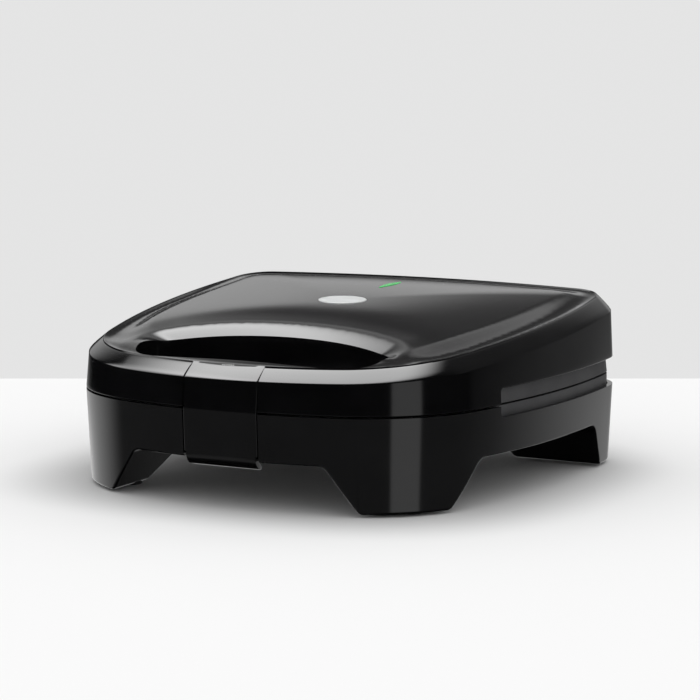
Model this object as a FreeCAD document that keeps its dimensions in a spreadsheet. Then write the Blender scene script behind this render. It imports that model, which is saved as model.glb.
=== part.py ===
import FreeCAD, Part
import math
import os
import Sketcher

# Panini press, millimetres.  +Z up, +Y to the rear, +X to the right seen from the front.
# Origin: centre of the outline, on the surface that the rubber feet stand on.

os.makedirs("parts", exist_ok=True)
doc = FreeCAD.newDocument("PaniniPress")
V = FreeCAD.Vector
X_AXIS = V(1, 0, 0)
Y_AXIS = V(0, 1, 0)
Z_AXIS = V(0, 0, 1)
RIGHT_ANGLE = 90.0
HALF_TURN = 180.0

# ---------------------------------------------------------------- driving dimensions
DIMENSIONS = {
    # outline in plan: tangent arcs, from the front centre round to the rear centre
    "body_width": 250.0,
    "body_depth": 242.3,
    "front_angle": 15.11,
    "corner_angle": 60.40,
    "side_angle": 21.04,
    "rear_corner_angle": 74.64,
    "corner_radius": 70.6,
    "rear_corner_radius": 29.46,
    # heights of the parting line, the lid's ridge and its crest, and their rise to the rear
    "split_height": 49.7,
    "split_gap": 1.0,
    "ridge_height": 15.7,
    "ridge_slope": 0.084,
    "ridge_inset": 1.55,
    "crest_height": 21.5,
    "crest_slope": 0.094,
    "crest_inset": 9.2,
    "dome_height": 8.4,
    "dome_end": 111.3,
    "wall": 2.6,
    "floor_thick": 2.6,
    # base
    "floor_inset": 2.28,
    "leg_height": 1.5,
    "arch_height": 25.0,
    "arch_half_top": 55.0,
    "arch_half_foot": 68.0,
    "side_arch_front_top": 60.0,
    "side_arch_front_foot": 52.0,
    "side_arch_end_top": 61.3,
    "side_arch_end_foot": 46.8,
    "arch_fillet": 6.0,
    "foot_length": 20.0,
    "foot_width": 14.0,
    "foot_x_front": 82.0,
    "foot_y_front": 41.0,
    "foot_x_rear": 90.0,
    "foot_end": 26.3,
    "foot_recess": 1.0,
    # slot along the rear half of both sides
    "slot_front": 69.5,
    "slot_above": 8.5,
    "slot_below": 5.2,
    "slot_corner": 3.0,
    "rear_cut_half": 98.0,
    "rear_cut_above": 11.8,
    "rear_cut_reach": 30.0,
    # plate frames, plates and heaters
    "frame_gap": 0.8,
    "frame_draft": 1.2,
    "frame_skirt": 2.0,
    "frame_web": 2.5,
    "frame_depth": 10.8,
    "plate_width": 208.0,
    "plate_front": 80.0,
    "plate_end": 26.3,
    "plate_thick": 8.0,
    "plate_corner": 12.0,
    "plate_lip": 6.0,
    "plate_seat": 4.0,
    "pan_depth": 4.5,
    "rib_height": 3.5,
    "rib_width": 4.0,
    "rib_pitch": 12.5,
    "rib_side_gap": 8.0,
    "rib_end_gap": 4.0,
    "rib_root": 0.5,
    "element_radius": 3.3,
    "element_run_gap": 38.0,
    "element_turn_gap": 52.0,
    "element_end_gap": 30.0,
    "element_pin_radius": 1.3,
    "element_pin_length": 12.0,
    "element_pin_root": 2.0,
    "reflector_side_gap": 6.0,
    "reflector_end_gap": 9.0,
    "reflector_corner": 6.0,
    "reflector_hole": 10.0,
    "reflector_screw_place": 26.0,
    "collar_radius": 2.6,
    "reflector_depth": 7.6,
    "sheet_metal": 0.8,
    # finger pocket behind the front crest
    "pocket_front": 21.5,
    "pocket_half_front": 52.0,
    "pocket_half": 70.5,
    "pocket_half_rear": 62.0,
    "pocket_end": 42.0,
    "pocket_shoulder": 58.0,
    "pocket_rear": 72.0,
    "pocket_floor_rise": 7.8,
    # latch
    "latch_half": 20.9,
    "latch_side_gap": 0.4,
    "latch_thick": 2.4,
    "latch_gap": 0.6,
    "latch_axis_inset": 10.6,
    "latch_axis_drop": 2.97,
    "latch_barrel": 3.2,
    "recess_wall": 2.0,
    "recess_cheek": 3.0,
    "recess_back": 2.5,
    "latch_pin_radius": 1.25,
    "spring_room": 4.5,
    "spring_end_gap": 0.8,
    "spring_gap": 0.4,
    "spring_wire": 0.35,
    "spring_turns": 6,
    "barrel_skin": 0.5,
    "latch_pin_boss": 4.5,
    "pin_cover": 1.0,
    "pin_end_gap": 0.3,
    "latch_foot": 28.0,
    "tab_half": 17.0,
    "tab_inset": 9.0,
    "tab_drop": 6.8,
    "tab_thin": 0.8,
    "hook_height": 2.2,
    "hook_gap": 0.4,
    "hook_root": 0.6,
    "base_recess": 10.4,
    "keeper_drop": 8.0,
    "keeper_height": 2.0,
    "keeper_front": 4.4,
    "keeper_length": 3.0,
    "keeper_gap": 0.8,
    "keeper_cover": 1.0,
    # rear hinge
    "hinge_room": 4.9,
    "hinge_frame_gap": 0.8,
    "bracket_back": 0.6,
    "lid_arm_reach": 30.0,
    "hinge_pin_end": 1.5,
    "hinge_place": 58.0,
    "knuckle_radius": 4.2,
    "knuckle_length": 8.0,
    "knuckle_gap": 0.4,
    "hinge_pin_radius": 2.0,
    "loose_clearance": 0.2,
    "fit_clearance": 0.1,
    "running_clearance": 0.05,
    "snug_clearance": 0.02,
    # small parts
    "badge_length": 27.0,
    "badge_width": 20.0,
    "badge_end": 112.3,
    "badge_proud": 0.5,
    "badge_seat": 0.3,
    "lens_length": 25.0,
    "lens_width": 4.6,
    "lens_end": 56.3,
    "lens_proud": 0.25,
    "lens_depth": 3.2,
    "screw_radius": 1.5,
    "screw_head_radius": 2.9,
    "screw_head": 1.4,
    "screw_length": 8.0,
    "screw_tip_room": 2.0,
    "screw_slot_width": 0.8,
    "screw_slot_length": 4.2,
    "screw_slot_depth": 0.6,
    "boss_radius": 4.0,
    "boss_x_front": 80.0,
    "boss_y_front": 50.0,
    "boss_x_rear": 85.0,
    "boss_end": 19.8,
    "gland_place": 38.0,
    "terminal_end": 25.3,
    "terminal_width": 30.0,
    "terminal_length": 16.0,
    "terminal_height": 10.0,
    "terminal_pitch": 9.0,
    "terminal_way": 1.6,
    "terminal_way_rise": 2.4,
    "wire_radius": 0.9,
    "wire_bend": 4.0,
    "wire_end_drop": 3.0,
    "earth_end_drop": 2.0,
    "gland_height": 36.0,
    "gland_bore": 3.6,
    "gland_radius": 6.0,
    "gland_flange": 8.0,
    "gland_flange_thick": 1.5,
    "gland_inner_thick": 2.0,
    "gland_inner_gap": 0.45,
    "gland_tail": 2.95,
    "cover_width": 150.0,
    "cover_front": 74.0,
    "cover_reach": 22.0,
    "cover_corner": 5.0,
    "vent_width": 3.0,
    "vent_length": 50.0,
    "vent_pitch": 10.0,
    "vent_count": 10,
    "cover_overlap": 6.0,
    "cover_thick": 2.0,
    "thermostat_radius": 8.0,
    "thermostat_rim": 6.5,
    "thermostat_standout": 0.5,
    "thermostat_rim_height": 1.0,
    "blade_place": 4.0,
    "blade_width": 4.8,
    "blade_thick": 0.8,
    "blade_height": 3.3,
    "fuse_gap": 24.0,
    "fuse_clip_length": 18.0,
    "fuse_clip_width": 8.0,
    "fuse_clip_thick": 1.0,
    "fuse_radius": 2.4,
    "fuse_length": 14.0,
    "fuse_height": 3.0,
    "lamp_radius": 2.5,
    "lamp_length": 18.0,
    "lamp_drop": 5.0,
    "holder_width": 14.0,
    "holder_end": 3.0,
    "holder_height": 9.0,
    "holder_gap": 0.6,
    "window_depth": 4.0,
    "past": 1.0,
}

# sizes that follow from others: what seats on a part or stops short of it moves with it
FOLLOWING = {
    "hinge_inset": "wall + hinge_room",
    "frame_inset": "wall + frame_gap",
    "pocket_floor": "split_height + pocket_floor_rise",
    "dome_centre": "body_depth - dome_end",
    "badge_place": "body_depth - badge_end",
    "lens_place": "body_depth - lens_end",
    "foot_y_rear": "body_depth - foot_end",
    "boss_y_rear": "body_depth - boss_end",
    "terminal_place": "body_depth - terminal_end",
    "plate_length": "body_depth - plate_end - plate_front",
    "plate_centre": "(body_depth - plate_end + plate_front) / 2",
    "cover_length": "plate_centre + cover_reach - cover_front",
    "cover_centre": "(plate_centre + cover_reach + cover_front) / 2",
    "reflector_width": "plate_width - 2 * reflector_side_gap",
    "reflector_length": "plate_length - 2 * reflector_end_gap",
    "element_run": "plate_width / 2 - element_run_gap",
    "element_turn": "plate_width / 2 - element_turn_gap",
    "element_half": "plate_length / 2 - element_end_gap",
    "fuse_place": "element_half - fuse_gap",
    "rib_count": "floor((plate_width - 2 * plate_lip - 2 * rib_side_gap - rib_width) / rib_pitch) + 1",
}

sheet = doc.addObject("Spreadsheet::Sheet", "Dims")
for row, (alias, number) in enumerate(DIMENSIONS.items(), start=1):
    sheet.set("A%d" % row, alias)
    sheet.set("B%d" % row, str(number))
    sheet.setAlias("B%d" % row, alias)
for row, (alias, formula) in enumerate(FOLLOWING.items(), start=len(DIMENSIONS) + 1):
    sheet.set("A%d" % row, alias)
    sheet.set("B%d" % row, "=" + formula)
    sheet.setAlias("B%d" % row, alias)
doc.recompute()


def dim(alias):
    return float(sheet.get(alias))


# ---------------------------------------------------------------- places worked out from them
HALF_WIDTH = dim("body_width") / 2
DEPTH = dim("body_depth")
FRONT = -DEPTH / 2
REAR = DEPTH / 2
WALL = dim("wall")
SPLIT = dim("split_height")
LID_BOTTOM = SPLIT + dim("split_gap") / 2
BASE_TOP = SPLIT - dim("split_gap") / 2
RIDGE = SPLIT + dim("ridge_height")
CREST = SPLIT + dim("crest_height")
FLOOR_THICK = dim("floor_thick")
BASE_FLOOR = dim("arch_height") + FLOOR_THICK
HINGE_Y = REAR - dim("hinge_inset")
FRAME_REAR = HINGE_Y - dim("knuckle_radius") - dim("hinge_frame_gap")
PLATE_Y = FRONT + dim("plate_centre")
WEB_UPPER = LID_BOTTOM + dim("frame_web")
WEB_LOWER = BASE_TOP - dim("frame_web")
UPPER_SEAT = LID_BOTTOM + dim("screw_head") + dim("loose_clearance")
LOWER_SEAT = BASE_TOP - dim("screw_head") - dim("loose_clearance")
PAST = dim("past")
SCREW_ROOM = dim("screw_length") + dim("screw_tip_room")
REFLECTOR_LOW = WEB_LOWER - dim("plate_thick") - dim("reflector_depth")
WEB_LAP = 1.0
GLAND_SEAT = 1.0
GLAND_ROOM = 12.0
ABOVE = 60.0
MARGIN = 5.0
SAME = 1e-6
DOME_POWER = 1.25
DOME_SECTIONS = (1.0, 0.9, 0.75, 0.55, 0.32, 0.12)


def from_front(distance):
    return FRONT + distance


# ---------------------------------------------------------------- outline
def outline_radii():
    """Radii of the front, side and rear arcs that give the wanted width and depth."""
    a1 = math.radians(dim("front_angle"))
    a2 = a1 + math.radians(dim("corner_angle"))
    a3 = a2 + math.radians(dim("side_angle"))
    a4 = a3 + math.radians(dim("rear_corner_angle"))
    corner = dim("corner_radius")
    rear_corner = dim("rear_corner_radius")

    def front_radius(side):
        rest = corner * (math.sin(a2) - math.sin(a1)) + side * (1 - math.sin(a2))
        return (HALF_WIDTH - rest) / math.sin(a1)

    def rear_radius(side):
        reach = HALF_WIDTH + side * (math.sin(a3) - 1)
        return (reach + rear_corner * (math.sin(a4) - math.sin(a3))) / math.sin(a4)

    def depth(side):
        total = front_radius(side) * (1 - math.cos(a1))
        total += corner * (math.cos(a1) - math.cos(a2))
        total += side * (math.cos(a2) - math.cos(a3))
        total += rear_corner * (math.cos(a3) - math.cos(a4))
        return total + rear_radius(side) * (math.cos(a4) + 1)

    side = (DEPTH - depth(0.0)) / (depth(1.0) - depth(0.0))
    radii = (front_radius(side), corner, side, rear_corner, rear_radius(side))
    return radii, (0.0, a1, a2, a3, a4, math.pi)


RADII, HEADINGS = outline_radii()


def outline_centres():
    """Centre of each arc; the heading turns left from +X at the front centre."""
    centres = []
    point = V(0, FRONT, 0)
    for radius, start, end in zip(RADII, HEADINGS, HEADINGS[1:]):
        centre = point + V(-math.sin(start), math.cos(start), 0) * radius
        centres.append(centre)
        point = centre + V(math.sin(end), -math.cos(end), 0) * radius
    return centres


CENTRES = outline_centres()


def on_outline(index, heading, inset, z):
    radius = RADII[index] - inset
    return CENTRES[index] + V(math.sin(heading) * radius, -math.cos(heading) * radius, z)


def outline(inset, z):
    """Closed wire of the outline moved inwards by inset, at height z."""
    last = len(RADII) - 1
    a1 = HEADINGS[1]
    a4 = HEADINGS[last]
    front = [on_outline(0, -a1, inset, z), on_outline(0, 0, inset, z), on_outline(0, a1, inset, z)]
    rear_mid = on_outline(last, math.pi, inset, z)
    rear_right = on_outline(last, a4, inset, z)
    rear_left = V(-rear_right.x, rear_right.y, z)
    right = []
    for index in range(1, last):
        start, end = HEADINGS[index], HEADINGS[index + 1]
        places = (start, (start + end) / 2, end)
        right.append([on_outline(index, heading, inset, z) for heading in places])
    left = [[V(-p.x, p.y, p.z) for p in reversed(points)] for points in reversed(right)]
    arcs = [front] + right + [[rear_right, rear_mid, rear_left]] + left
    return Part.Wire([Part.Arc(*points).toShape() for points in arcs])


def tilted(wire, front_height, slope):
    """The wire lifted on to a plane that rises to the rear; plan view unchanged."""
    matrix = FreeCAD.Matrix()
    matrix.A32 = slope
    matrix.A34 = front_height - slope * FRONT
    return wire.transformGeometry(matrix)


def ridge_wire(inset, drop):
    return tilted(outline(dim("ridge_inset") + inset, 0), RIDGE - drop, dim("ridge_slope"))


def crest_wire(inset, drop):
    return tilted(outline(dim("crest_inset") + inset, 0), CREST - drop, dim("crest_slope"))


def crest_plane(y):
    return CREST + dim("crest_slope") * (y - FRONT)


def prism(wire, bottom, top):
    face = Part.Face(wire)
    face.translate(V(0, 0, bottom - wire.BoundBox.ZMin))
    return face.extrude(V(0, 0, top - bottom))


def box(x0, x1, y0, y1, z0, z1):
    return Part.makeBox(x1 - x0, y1 - y0, z1 - z0, V(x0, y0, z0))


def cylinder_x(radius, x0, x1, y, z):
    return Part.makeCylinder(radius, x1 - x0, V(x0, y, z), X_AXIS)


def cylinder_y(radius, y0, y1, x, z):
    return Part.makeCylinder(radius, y1 - y0, V(x, y0, z), Y_AXIS)


def cylinder_z(radius, z0, z1, x, y):
    return Part.makeCylinder(radius, z1 - z0, V(x, y, z0), Z_AXIS)


# ---------------------------------------------------------------- lid and base envelopes
CHAMFER_RISE = dim("crest_height") - dim("ridge_height")
CHAMFER_RUN = dim("crest_inset") - dim("ridge_inset")
CHAMFER_ANGLE = math.atan2(CHAMFER_RISE, CHAMFER_RUN)


def lid_loft(offset, bottom):
    """Walls and chamfer band of the lid, moved inwards by offset along the normals."""
    ridge_drop = offset * (1 / math.cos(CHAMFER_ANGLE) - math.tan(CHAMFER_ANGLE))
    crest_shift = offset * (1 / math.cos(CHAMFER_ANGLE) - 1) / math.tan(CHAMFER_ANGLE)
    sections = [outline(offset, bottom), ridge_wire(offset, ridge_drop), crest_wire(crest_shift, offset)]
    return Part.makeLoft(sections, True, True)


def dome_rise(scale):
    """Height of the dome above the crest plane, from 1 at the crest to 0 at its centre."""
    return dim("dome_height") * (1 - scale ** 2) ** DOME_POWER


def dome_height(y):
    """Height of the dome on the centre line behind its middle."""
    middle = from_front(dim("dome_centre"))
    reach = REAR - dim("crest_inset") - middle
    return crest_plane(y) + dome_rise((y - middle) / reach)


def dome(offset):
    """Low dome on the crest plane: scaled crest outlines that rise to a flat top."""
    centre = V(0, from_front(dim("dome_centre")), 0)
    crest = crest_wire(offset, offset)
    sections = []
    for scale in DOME_SECTIONS:
        place = FreeCAD.Matrix()
        place.A11 = scale
        place.A22 = scale
        place.A33 = scale
        place.A24 = centre.y * (1 - scale)
        place.A34 = crest_plane(centre.y) * (1 - scale) + dome_rise(scale) - offset * (1 - scale)
        sections.append(crest.transformGeometry(place))
    return Part.makeLoft(sections, True, False)


def base_loft(offset, top, bottom):
    """Base walls: they lean inwards towards the floor."""
    lean = dim("floor_inset") / BASE_TOP
    low = outline(offset + lean * (BASE_TOP - bottom), bottom)
    high = outline(offset + lean * (BASE_TOP - top), top)
    return Part.makeLoft([low, high], True, True)


lid_outer = lid_loft(0, LID_BOTTOM).fuse(dome(0)).removeSplitter()
lid_inner = lid_loft(WALL, LID_BOTTOM - MARGIN).fuse(dome(WALL)).removeSplitter()


# ---------------------------------------------------------------- openings and recesses
def channel(points, length, along):
    """Trapezoid tunnel, rounded at its two upper edges."""
    wire = Part.makePolygon(points + [points[0]])
    solid = Part.Face(wire).extrude(along * length)
    top = max(p.z for p in points)
    upper = []
    for edge in solid.Edges:
        ends = [vertex.Point for vertex in edge.Vertexes]
        level = all(abs(p.z - top) < SAME for p in ends)
        runs_along = abs(abs((ends[1] - ends[0]).dot(along)) - length) < SAME
        if level and runs_along:
            upper.append(edge)
    return solid.makeFillet(dim("arch_fillet"), upper)


def front_rear_channel(grow, lift):
    """The tunnel under the base from the front arch to the rear one."""
    half_top = dim("arch_half_top") + grow
    half_foot = dim("arch_half_foot") + grow
    top = dim("arch_height") + lift
    start = FRONT - MARGIN
    points = [V(-half_foot, start, -grow), V(half_foot, start, -grow)]
    points += [V(half_top, start, top), V(-half_top, start, top)]
    return channel(points, DEPTH + 2 * MARGIN, Y_AXIS)


def side_channel(grow, lift):
    """The tunnel under the base from side to side, between front and rear legs."""
    start = -HALF_WIDTH - MARGIN
    top = dim("arch_height") + lift
    front_foot = from_front(dim("side_arch_front_foot")) - grow
    front_top = from_front(dim("side_arch_front_top")) - grow
    rear_top = REAR - dim("side_arch_end_top") + grow
    rear_foot = REAR - dim("side_arch_end_foot") + grow
    points = [V(start, front_foot, -grow), V(start, rear_foot, -grow)]
    points += [V(start, rear_top, top), V(start, front_top, top)]
    return channel(points, 2 * (HALF_WIDTH + MARGIN), X_AXIS)


def slot_cut(low, high, round_high):
    """Band cut out of the walls behind slot_front, with its front corner rounded."""
    start = from_front(dim("slot_front"))
    cut = box(-HALF_WIDTH - MARGIN, HALF_WIDTH + MARGIN, start, REAR + MARGIN, low, high)
    level = high if round_high else low
    corner = []
    for edge in cut.Edges:
        ends = [vertex.Point for vertex in edge.Vertexes]
        if all(abs(p.y - start) < SAME and abs(p.z - level) < SAME for p in ends):
            corner.append(edge)
    cut = cut.makeFillet(dim("slot_corner"), corner)
    return cut.cut(prism(outline(WALL + MARGIN, 0), low - 1, high + 1))


def pocket_wire(grow, z):
    """Plan of the finger pocket: straight front edge, round ends, bowed rear edge."""
    front = from_front(dim("pocket_front"))
    half_front = dim("pocket_half_front")
    shoulder_y = from_front(dim("pocket_shoulder"))
    half_rear = dim("pocket_half_rear")
    end_y = from_front(dim("pocket_end"))
    half = dim("pocket_half")
    rear_y = from_front(dim("pocket_rear"))
    front_left, front_right = V(-half_front, front, z), V(half_front, front, z)
    rear_left, rear_right = V(-half_rear, shoulder_y, z), V(half_rear, shoulder_y, z)
    edges = [
        Part.LineSegment(front_left, front_right).toShape(),
        Part.Arc(front_right, V(half, end_y, z), rear_right).toShape(),
        Part.Arc(rear_right, V(0, rear_y, z), rear_left).toShape(),
        Part.Arc(rear_left, V(-half, end_y, z), front_left).toShape(),
    ]
    wire = Part.Wire(edges)
    if grow:
        wire = wire.makeOffset2D(grow)
    return wire


LATCH_Y = from_front(dim("latch_axis_inset"))
LATCH_Z = crest_plane(LATCH_Y) - dim("latch_axis_drop")
NOTCH_HALF = dim("latch_half") + dim("latch_side_gap")
RECESS_DEPTH = dim("latch_thick") + dim("latch_gap")
RECESS_WALL = dim("recess_wall")
RECESS_CHEEK = dim("recess_cheek")
NOTCH_REAR = LATCH_Y
RECESS_GAP = 1.0


def latch_region(half, bottom, rear):
    """Box round the latch, in front of a plane at y = rear."""
    return box(-half, half, FRONT - MARGIN, rear, bottom, SPLIT + ABOVE)


# ---------------------------------------------------------------- shells
def boss_places():
    """Screw bosses that carry the plate frames, the same in the lid and in the base."""
    rows = ((dim("boss_x_front"), dim("boss_y_front")), (dim("boss_x_rear"), dim("boss_y_rear")))
    return [(side * x, from_front(y)) for side in (-1, 1) for x, y in rows]


def oval_prism(length, width, y, bottom, top):
    """Upright elliptical prism, long axis along X when length is the greater."""
    ellipse = Part.Ellipse(V(0, 0, 0), max(length, width) / 2, min(length, width) / 2).toShape()
    wire = Part.Wire([ellipse])
    if width > length:
        wire.rotate(V(0, 0, 0), Z_AXIS, RIGHT_ANGLE)
    wire.translate(V(0, y, bottom))
    return Part.Face(wire).extrude(V(0, 0, top - bottom))


def leaf_prism(grow, bottom, top):
    """Upright leaf-shaped prism of the indicator window, pointed at both ends."""
    half = dim("lens_length") / 2 + grow
    side = dim("lens_width") / 2 + grow
    y = from_front(dim("lens_place"))
    tail, tip = V(0, y - half, bottom), V(0, y + half, bottom)
    edges = [
        Part.Arc(tail, V(side, y, bottom), tip).toShape(),
        Part.Arc(tip, V(-side, y, bottom), tail).toShape(),
    ]
    return Part.Face(Part.Wire(edges)).extrude(V(0, 0, top - bottom))


def raised(shape, height):
    moved = shape.copy()
    moved.translate(V(0, 0, height))
    return moved


def lid_shell():
    shell = lid_outer.cut(lid_inner)
    # finger pocket: its walls and floor hang from the top
    floor = dim("pocket_floor")
    cup = prism(pocket_wire(WALL, 0), floor - WALL, SPLIT + ABOVE).common(lid_outer)
    shell = shell.fuse(cup).cut(prism(pocket_wire(0, 0), floor, SPLIT + ABOVE))
    # wall set back behind the latch, closed at the sides by cheeks
    notch = latch_region(NOTCH_HALF, LID_BOTTOM - PAST, NOTCH_REAR)
    zone = latch_region(NOTCH_HALF + RECESS_CHEEK, LID_BOTTOM - PAST, NOTCH_REAR + dim("recess_back"))
    recess = lid_outer.cut(lid_loft(RECESS_DEPTH + RECESS_WALL, LID_BOTTOM - MARGIN)).common(zone)
    shell = shell.fuse(recess)
    skin = lid_outer.cut(lid_loft(RECESS_DEPTH, LID_BOTTOM - MARGIN))
    shell = shell.cut(skin.common(notch))
    barrel_room = dim("latch_barrel") + dim("loose_clearance")
    for side in (-1, 1):
        near = side * NOTCH_HALF
        far = side * (NOTCH_HALF + dim("latch_pin_boss"))
        boss = cylinder_x(dim("latch_barrel"), min(near, far), max(near, far), LATCH_Y, LATCH_Z)
        shell = shell.fuse(boss.common(lid_outer))
    shell = shell.cut(cylinder_x(barrel_room, -NOTCH_HALF, NOTCH_HALF, LATCH_Y, LATCH_Z))
    # bosses for the frame's screws
    for x, y in boss_places():
        shell = shell.fuse(cylinder_z(dim("boss_radius"), WEB_UPPER, SPLIT + ABOVE, x, y).common(lid_outer))
    # slots, screw holes, seats for the badge and the window
    shell = shell.cut(slot_cut(LID_BOTTOM - PAST, SPLIT + dim("slot_above"), True))
    half = dim("rear_cut_half")
    rear_top = SPLIT + dim("rear_cut_above")
    shell = shell.cut(box(-half, half, REAR - dim("rear_cut_reach"), REAR + PAST, LID_BOTTOM - PAST, rear_top))
    hole = dim("screw_radius") + dim("snug_clearance")
    for x, y in boss_places():
        shell = shell.cut(cylinder_z(hole, WEB_UPPER - PAST, WEB_UPPER + SCREW_ROOM, x, y))
    pin = dim("latch_pin_radius") + dim("snug_clearance")
    pin_half = NOTCH_HALF + dim("latch_pin_boss") - dim("pin_cover")
    shell = shell.cut(cylinder_x(pin, -pin_half, pin_half, LATCH_Y, LATCH_Z))
    badge_y = from_front(dim("badge_place"))
    grow = 2 * dim("fit_clearance")
    seat = oval_prism(dim("badge_length") + grow, dim("badge_width") + grow, badge_y, CREST, CREST + ABOVE)
    shell = shell.cut(seat.cut(raised(lid_outer, -dim("badge_seat"))))
    return shell.cut(leaf_prism(dim("fit_clearance"), CREST, CREST + ABOVE))


def badge_plate():
    y = from_front(dim("badge_place"))
    blank = oval_prism(dim("badge_length"), dim("badge_width"), y, CREST, CREST + ABOVE)
    blank = blank.cut(raised(lid_outer, -dim("badge_seat")))
    return blank.common(raised(lid_outer, dim("badge_proud")))


def indicator_lens():
    blank = leaf_prism(0, CREST, CREST + ABOVE)
    blank = blank.cut(raised(lid_outer, -dim("lens_depth")))
    return blank.common(raised(lid_outer, dim("lens_proud")))


def base_shell():
    outer = base_loft(0, BASE_TOP, dim("leg_height"))
    outer = outer.cut(front_rear_channel(0, 0)).cut(side_channel(0, 0))
    hollow = base_loft(WALL, BASE_TOP + PAST, dim("leg_height") + WALL)
    hollow = hollow.cut(front_rear_channel(WALL, FLOOR_THICK)).cut(side_channel(WALL, FLOOR_THICK))
    shell = outer.cut(hollow)
    # open shaft behind the latch and its tab, closed off by cheeks and a back wall
    arch = dim("arch_height")
    back = from_front(dim("base_recess"))
    outside = NOTCH_HALF + RECESS_CHEEK
    block = box(-outside, outside, FRONT, back + RECESS_WALL, arch, BASE_TOP).common(outer)
    shell = shell.fuse(block)
    shell = shell.cut(box(-NOTCH_HALF, NOTCH_HALF, FRONT - PAST, back, 0, BASE_TOP + PAST))
    for cut in keeper_blanks(dim("running_clearance")):
        shell = shell.cut(cut)
    # bosses under the lower frame
    for x, y in boss_places():
        boss = cylinder_z(dim("boss_radius"), dim("leg_height"), WEB_LOWER, x, y)
        shell = shell.fuse(boss.common(outer))
    # slots, screw holes, window in the floor, seats for the feet and the cord gland
    shell = shell.cut(slot_cut(SPLIT - dim("slot_below"), BASE_TOP + PAST, False))
    hole = dim("screw_radius") + dim("snug_clearance")
    for x, y in boss_places():
        shell = shell.cut(cylinder_z(hole, WEB_LOWER - SCREW_ROOM, WEB_LOWER + PAST, x, y))
    for x, y in cover_screw_places():
        shell = shell.cut(cylinder_z(hole, dim("arch_height") - PAST, BASE_FLOOR + PAST, x, y))
    half_x = dim("cover_width") / 2 - 2 * dim("cover_overlap")
    half_y = dim("cover_length") / 2 - 2 * dim("cover_overlap")
    y = from_front(dim("cover_centre"))
    shell = shell.cut(box(-half_x, half_x, y - half_y, y + half_y, 0, BASE_FLOOR + PAST))
    for x, y in foot_places():
        shell = shell.cut(foot_blank(x, y, dim("running_clearance"), dim("leg_height") + dim("foot_recess")))
    wall_y = gland_wall()
    bore = dim("gland_radius") + dim("snug_clearance")
    x, z = dim("gland_place"), dim("gland_height")
    shell = shell.cut(cylinder_y(bore, wall_y - GLAND_ROOM, wall_y + MARGIN, x, z))
    flange = dim("gland_flange") + dim("fit_clearance")
    return shell.cut(cylinder_y(flange, wall_y - GLAND_SEAT, wall_y + MARGIN, x, z))


def gland_wall():
    """y of the rear wall's outer face at the cord gland."""
    x = dim("gland_place")
    radius = RADII[-1]
    y = REAR - radius + math.sqrt(radius ** 2 - x ** 2)
    lean = dim("floor_inset") / BASE_TOP
    return y - lean * (BASE_TOP - dim("gland_height"))


def cover_screw_places():
    x = dim("cover_width") / 2 - dim("cover_overlap")
    y = dim("cover_length") / 2 - dim("cover_overlap")
    centre = from_front(dim("cover_centre"))
    return [(sx * x, centre + sy * y) for sx in (-1, 1) for sy in (-1, 1)]


def foot_places():
    rows = ((dim("foot_x_front"), dim("foot_y_front")), (dim("foot_x_rear"), dim("foot_y_rear")))
    return [(side * x, from_front(y)) for side in (-1, 1) for x, y in rows]


def foot_blank(x, y, grow, top):
    """Upright stadium under a leg."""
    half = dim("foot_length") / 2 - dim("foot_width") / 2
    radius = dim("foot_width") / 2 + grow
    shape = box(x - half, x + half, y - radius, y + radius, 0, top)
    for side in (-1, 1):
        shape = shape.fuse(cylinder_z(radius, 0, top, x + side * half, y))
    return shape.removeSplitter()


def rubber_feet():
    top = dim("leg_height") + dim("foot_recess")
    return Part.makeCompound([foot_blank(x, y, 0, top) for x, y in foot_places()])


# ---------------------------------------------------------------- latch
def latch():
    thick = dim("latch_thick")
    half = dim("latch_half")
    foot = dim("latch_foot")
    zone = latch_region(half, foot, NOTCH_REAR)
    lid_part = lid_loft(0, SPLIT).cut(lid_loft(thick, SPLIT - MARGIN))
    base_part = base_loft(0, SPLIT, foot).cut(base_loft(thick, SPLIT + PAST, foot - PAST))
    shape = lid_part.fuse(base_part).common(zone)
    barrel = cylinder_x(dim("latch_barrel"), -half, half, LATCH_Y, LATCH_Z)
    shape = shape.fuse(barrel.common(lid_outer)).removeSplitter()
    # tab that curls in under the base's edge
    lean = dim("floor_inset") / BASE_TOP * (BASE_TOP - foot)
    outer_y = from_front(lean)
    tab = tab_sheet(outer_y, foot, dim("tab_inset") - lean, dim("tab_drop"), thick)
    shape = shape.fuse(tab)
    # hooks beside the tab, short of the keepers
    for side in (-1, 1):
        near, far = side * (dim("tab_half") + dim("keeper_gap")), side * (half - dim("hook_gap"))
        top = SPLIT - dim("keeper_drop") - dim("keeper_height") - dim("hook_gap")
        hook_front = from_front(thick - dim("hook_root"))
        hook_rear = from_front(dim("keeper_front") - dim("hook_gap"))
        shape = shape.fuse(box(
            min(near, far), max(near, far), hook_front, hook_rear, top - dim("hook_height"), top))
    shape = shape.removeSplitter()
    bore = dim("latch_pin_radius") + dim("running_clearance")
    shape = shape.cut(cylinder_x(bore, -half - PAST, half + PAST, LATCH_Y, LATCH_Z))
    room = dim("spring_room")
    return shape.cut(cylinder_x(dim("latch_barrel") - dim("barrel_skin"), -room, room, LATCH_Y, LATCH_Z))


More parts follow.
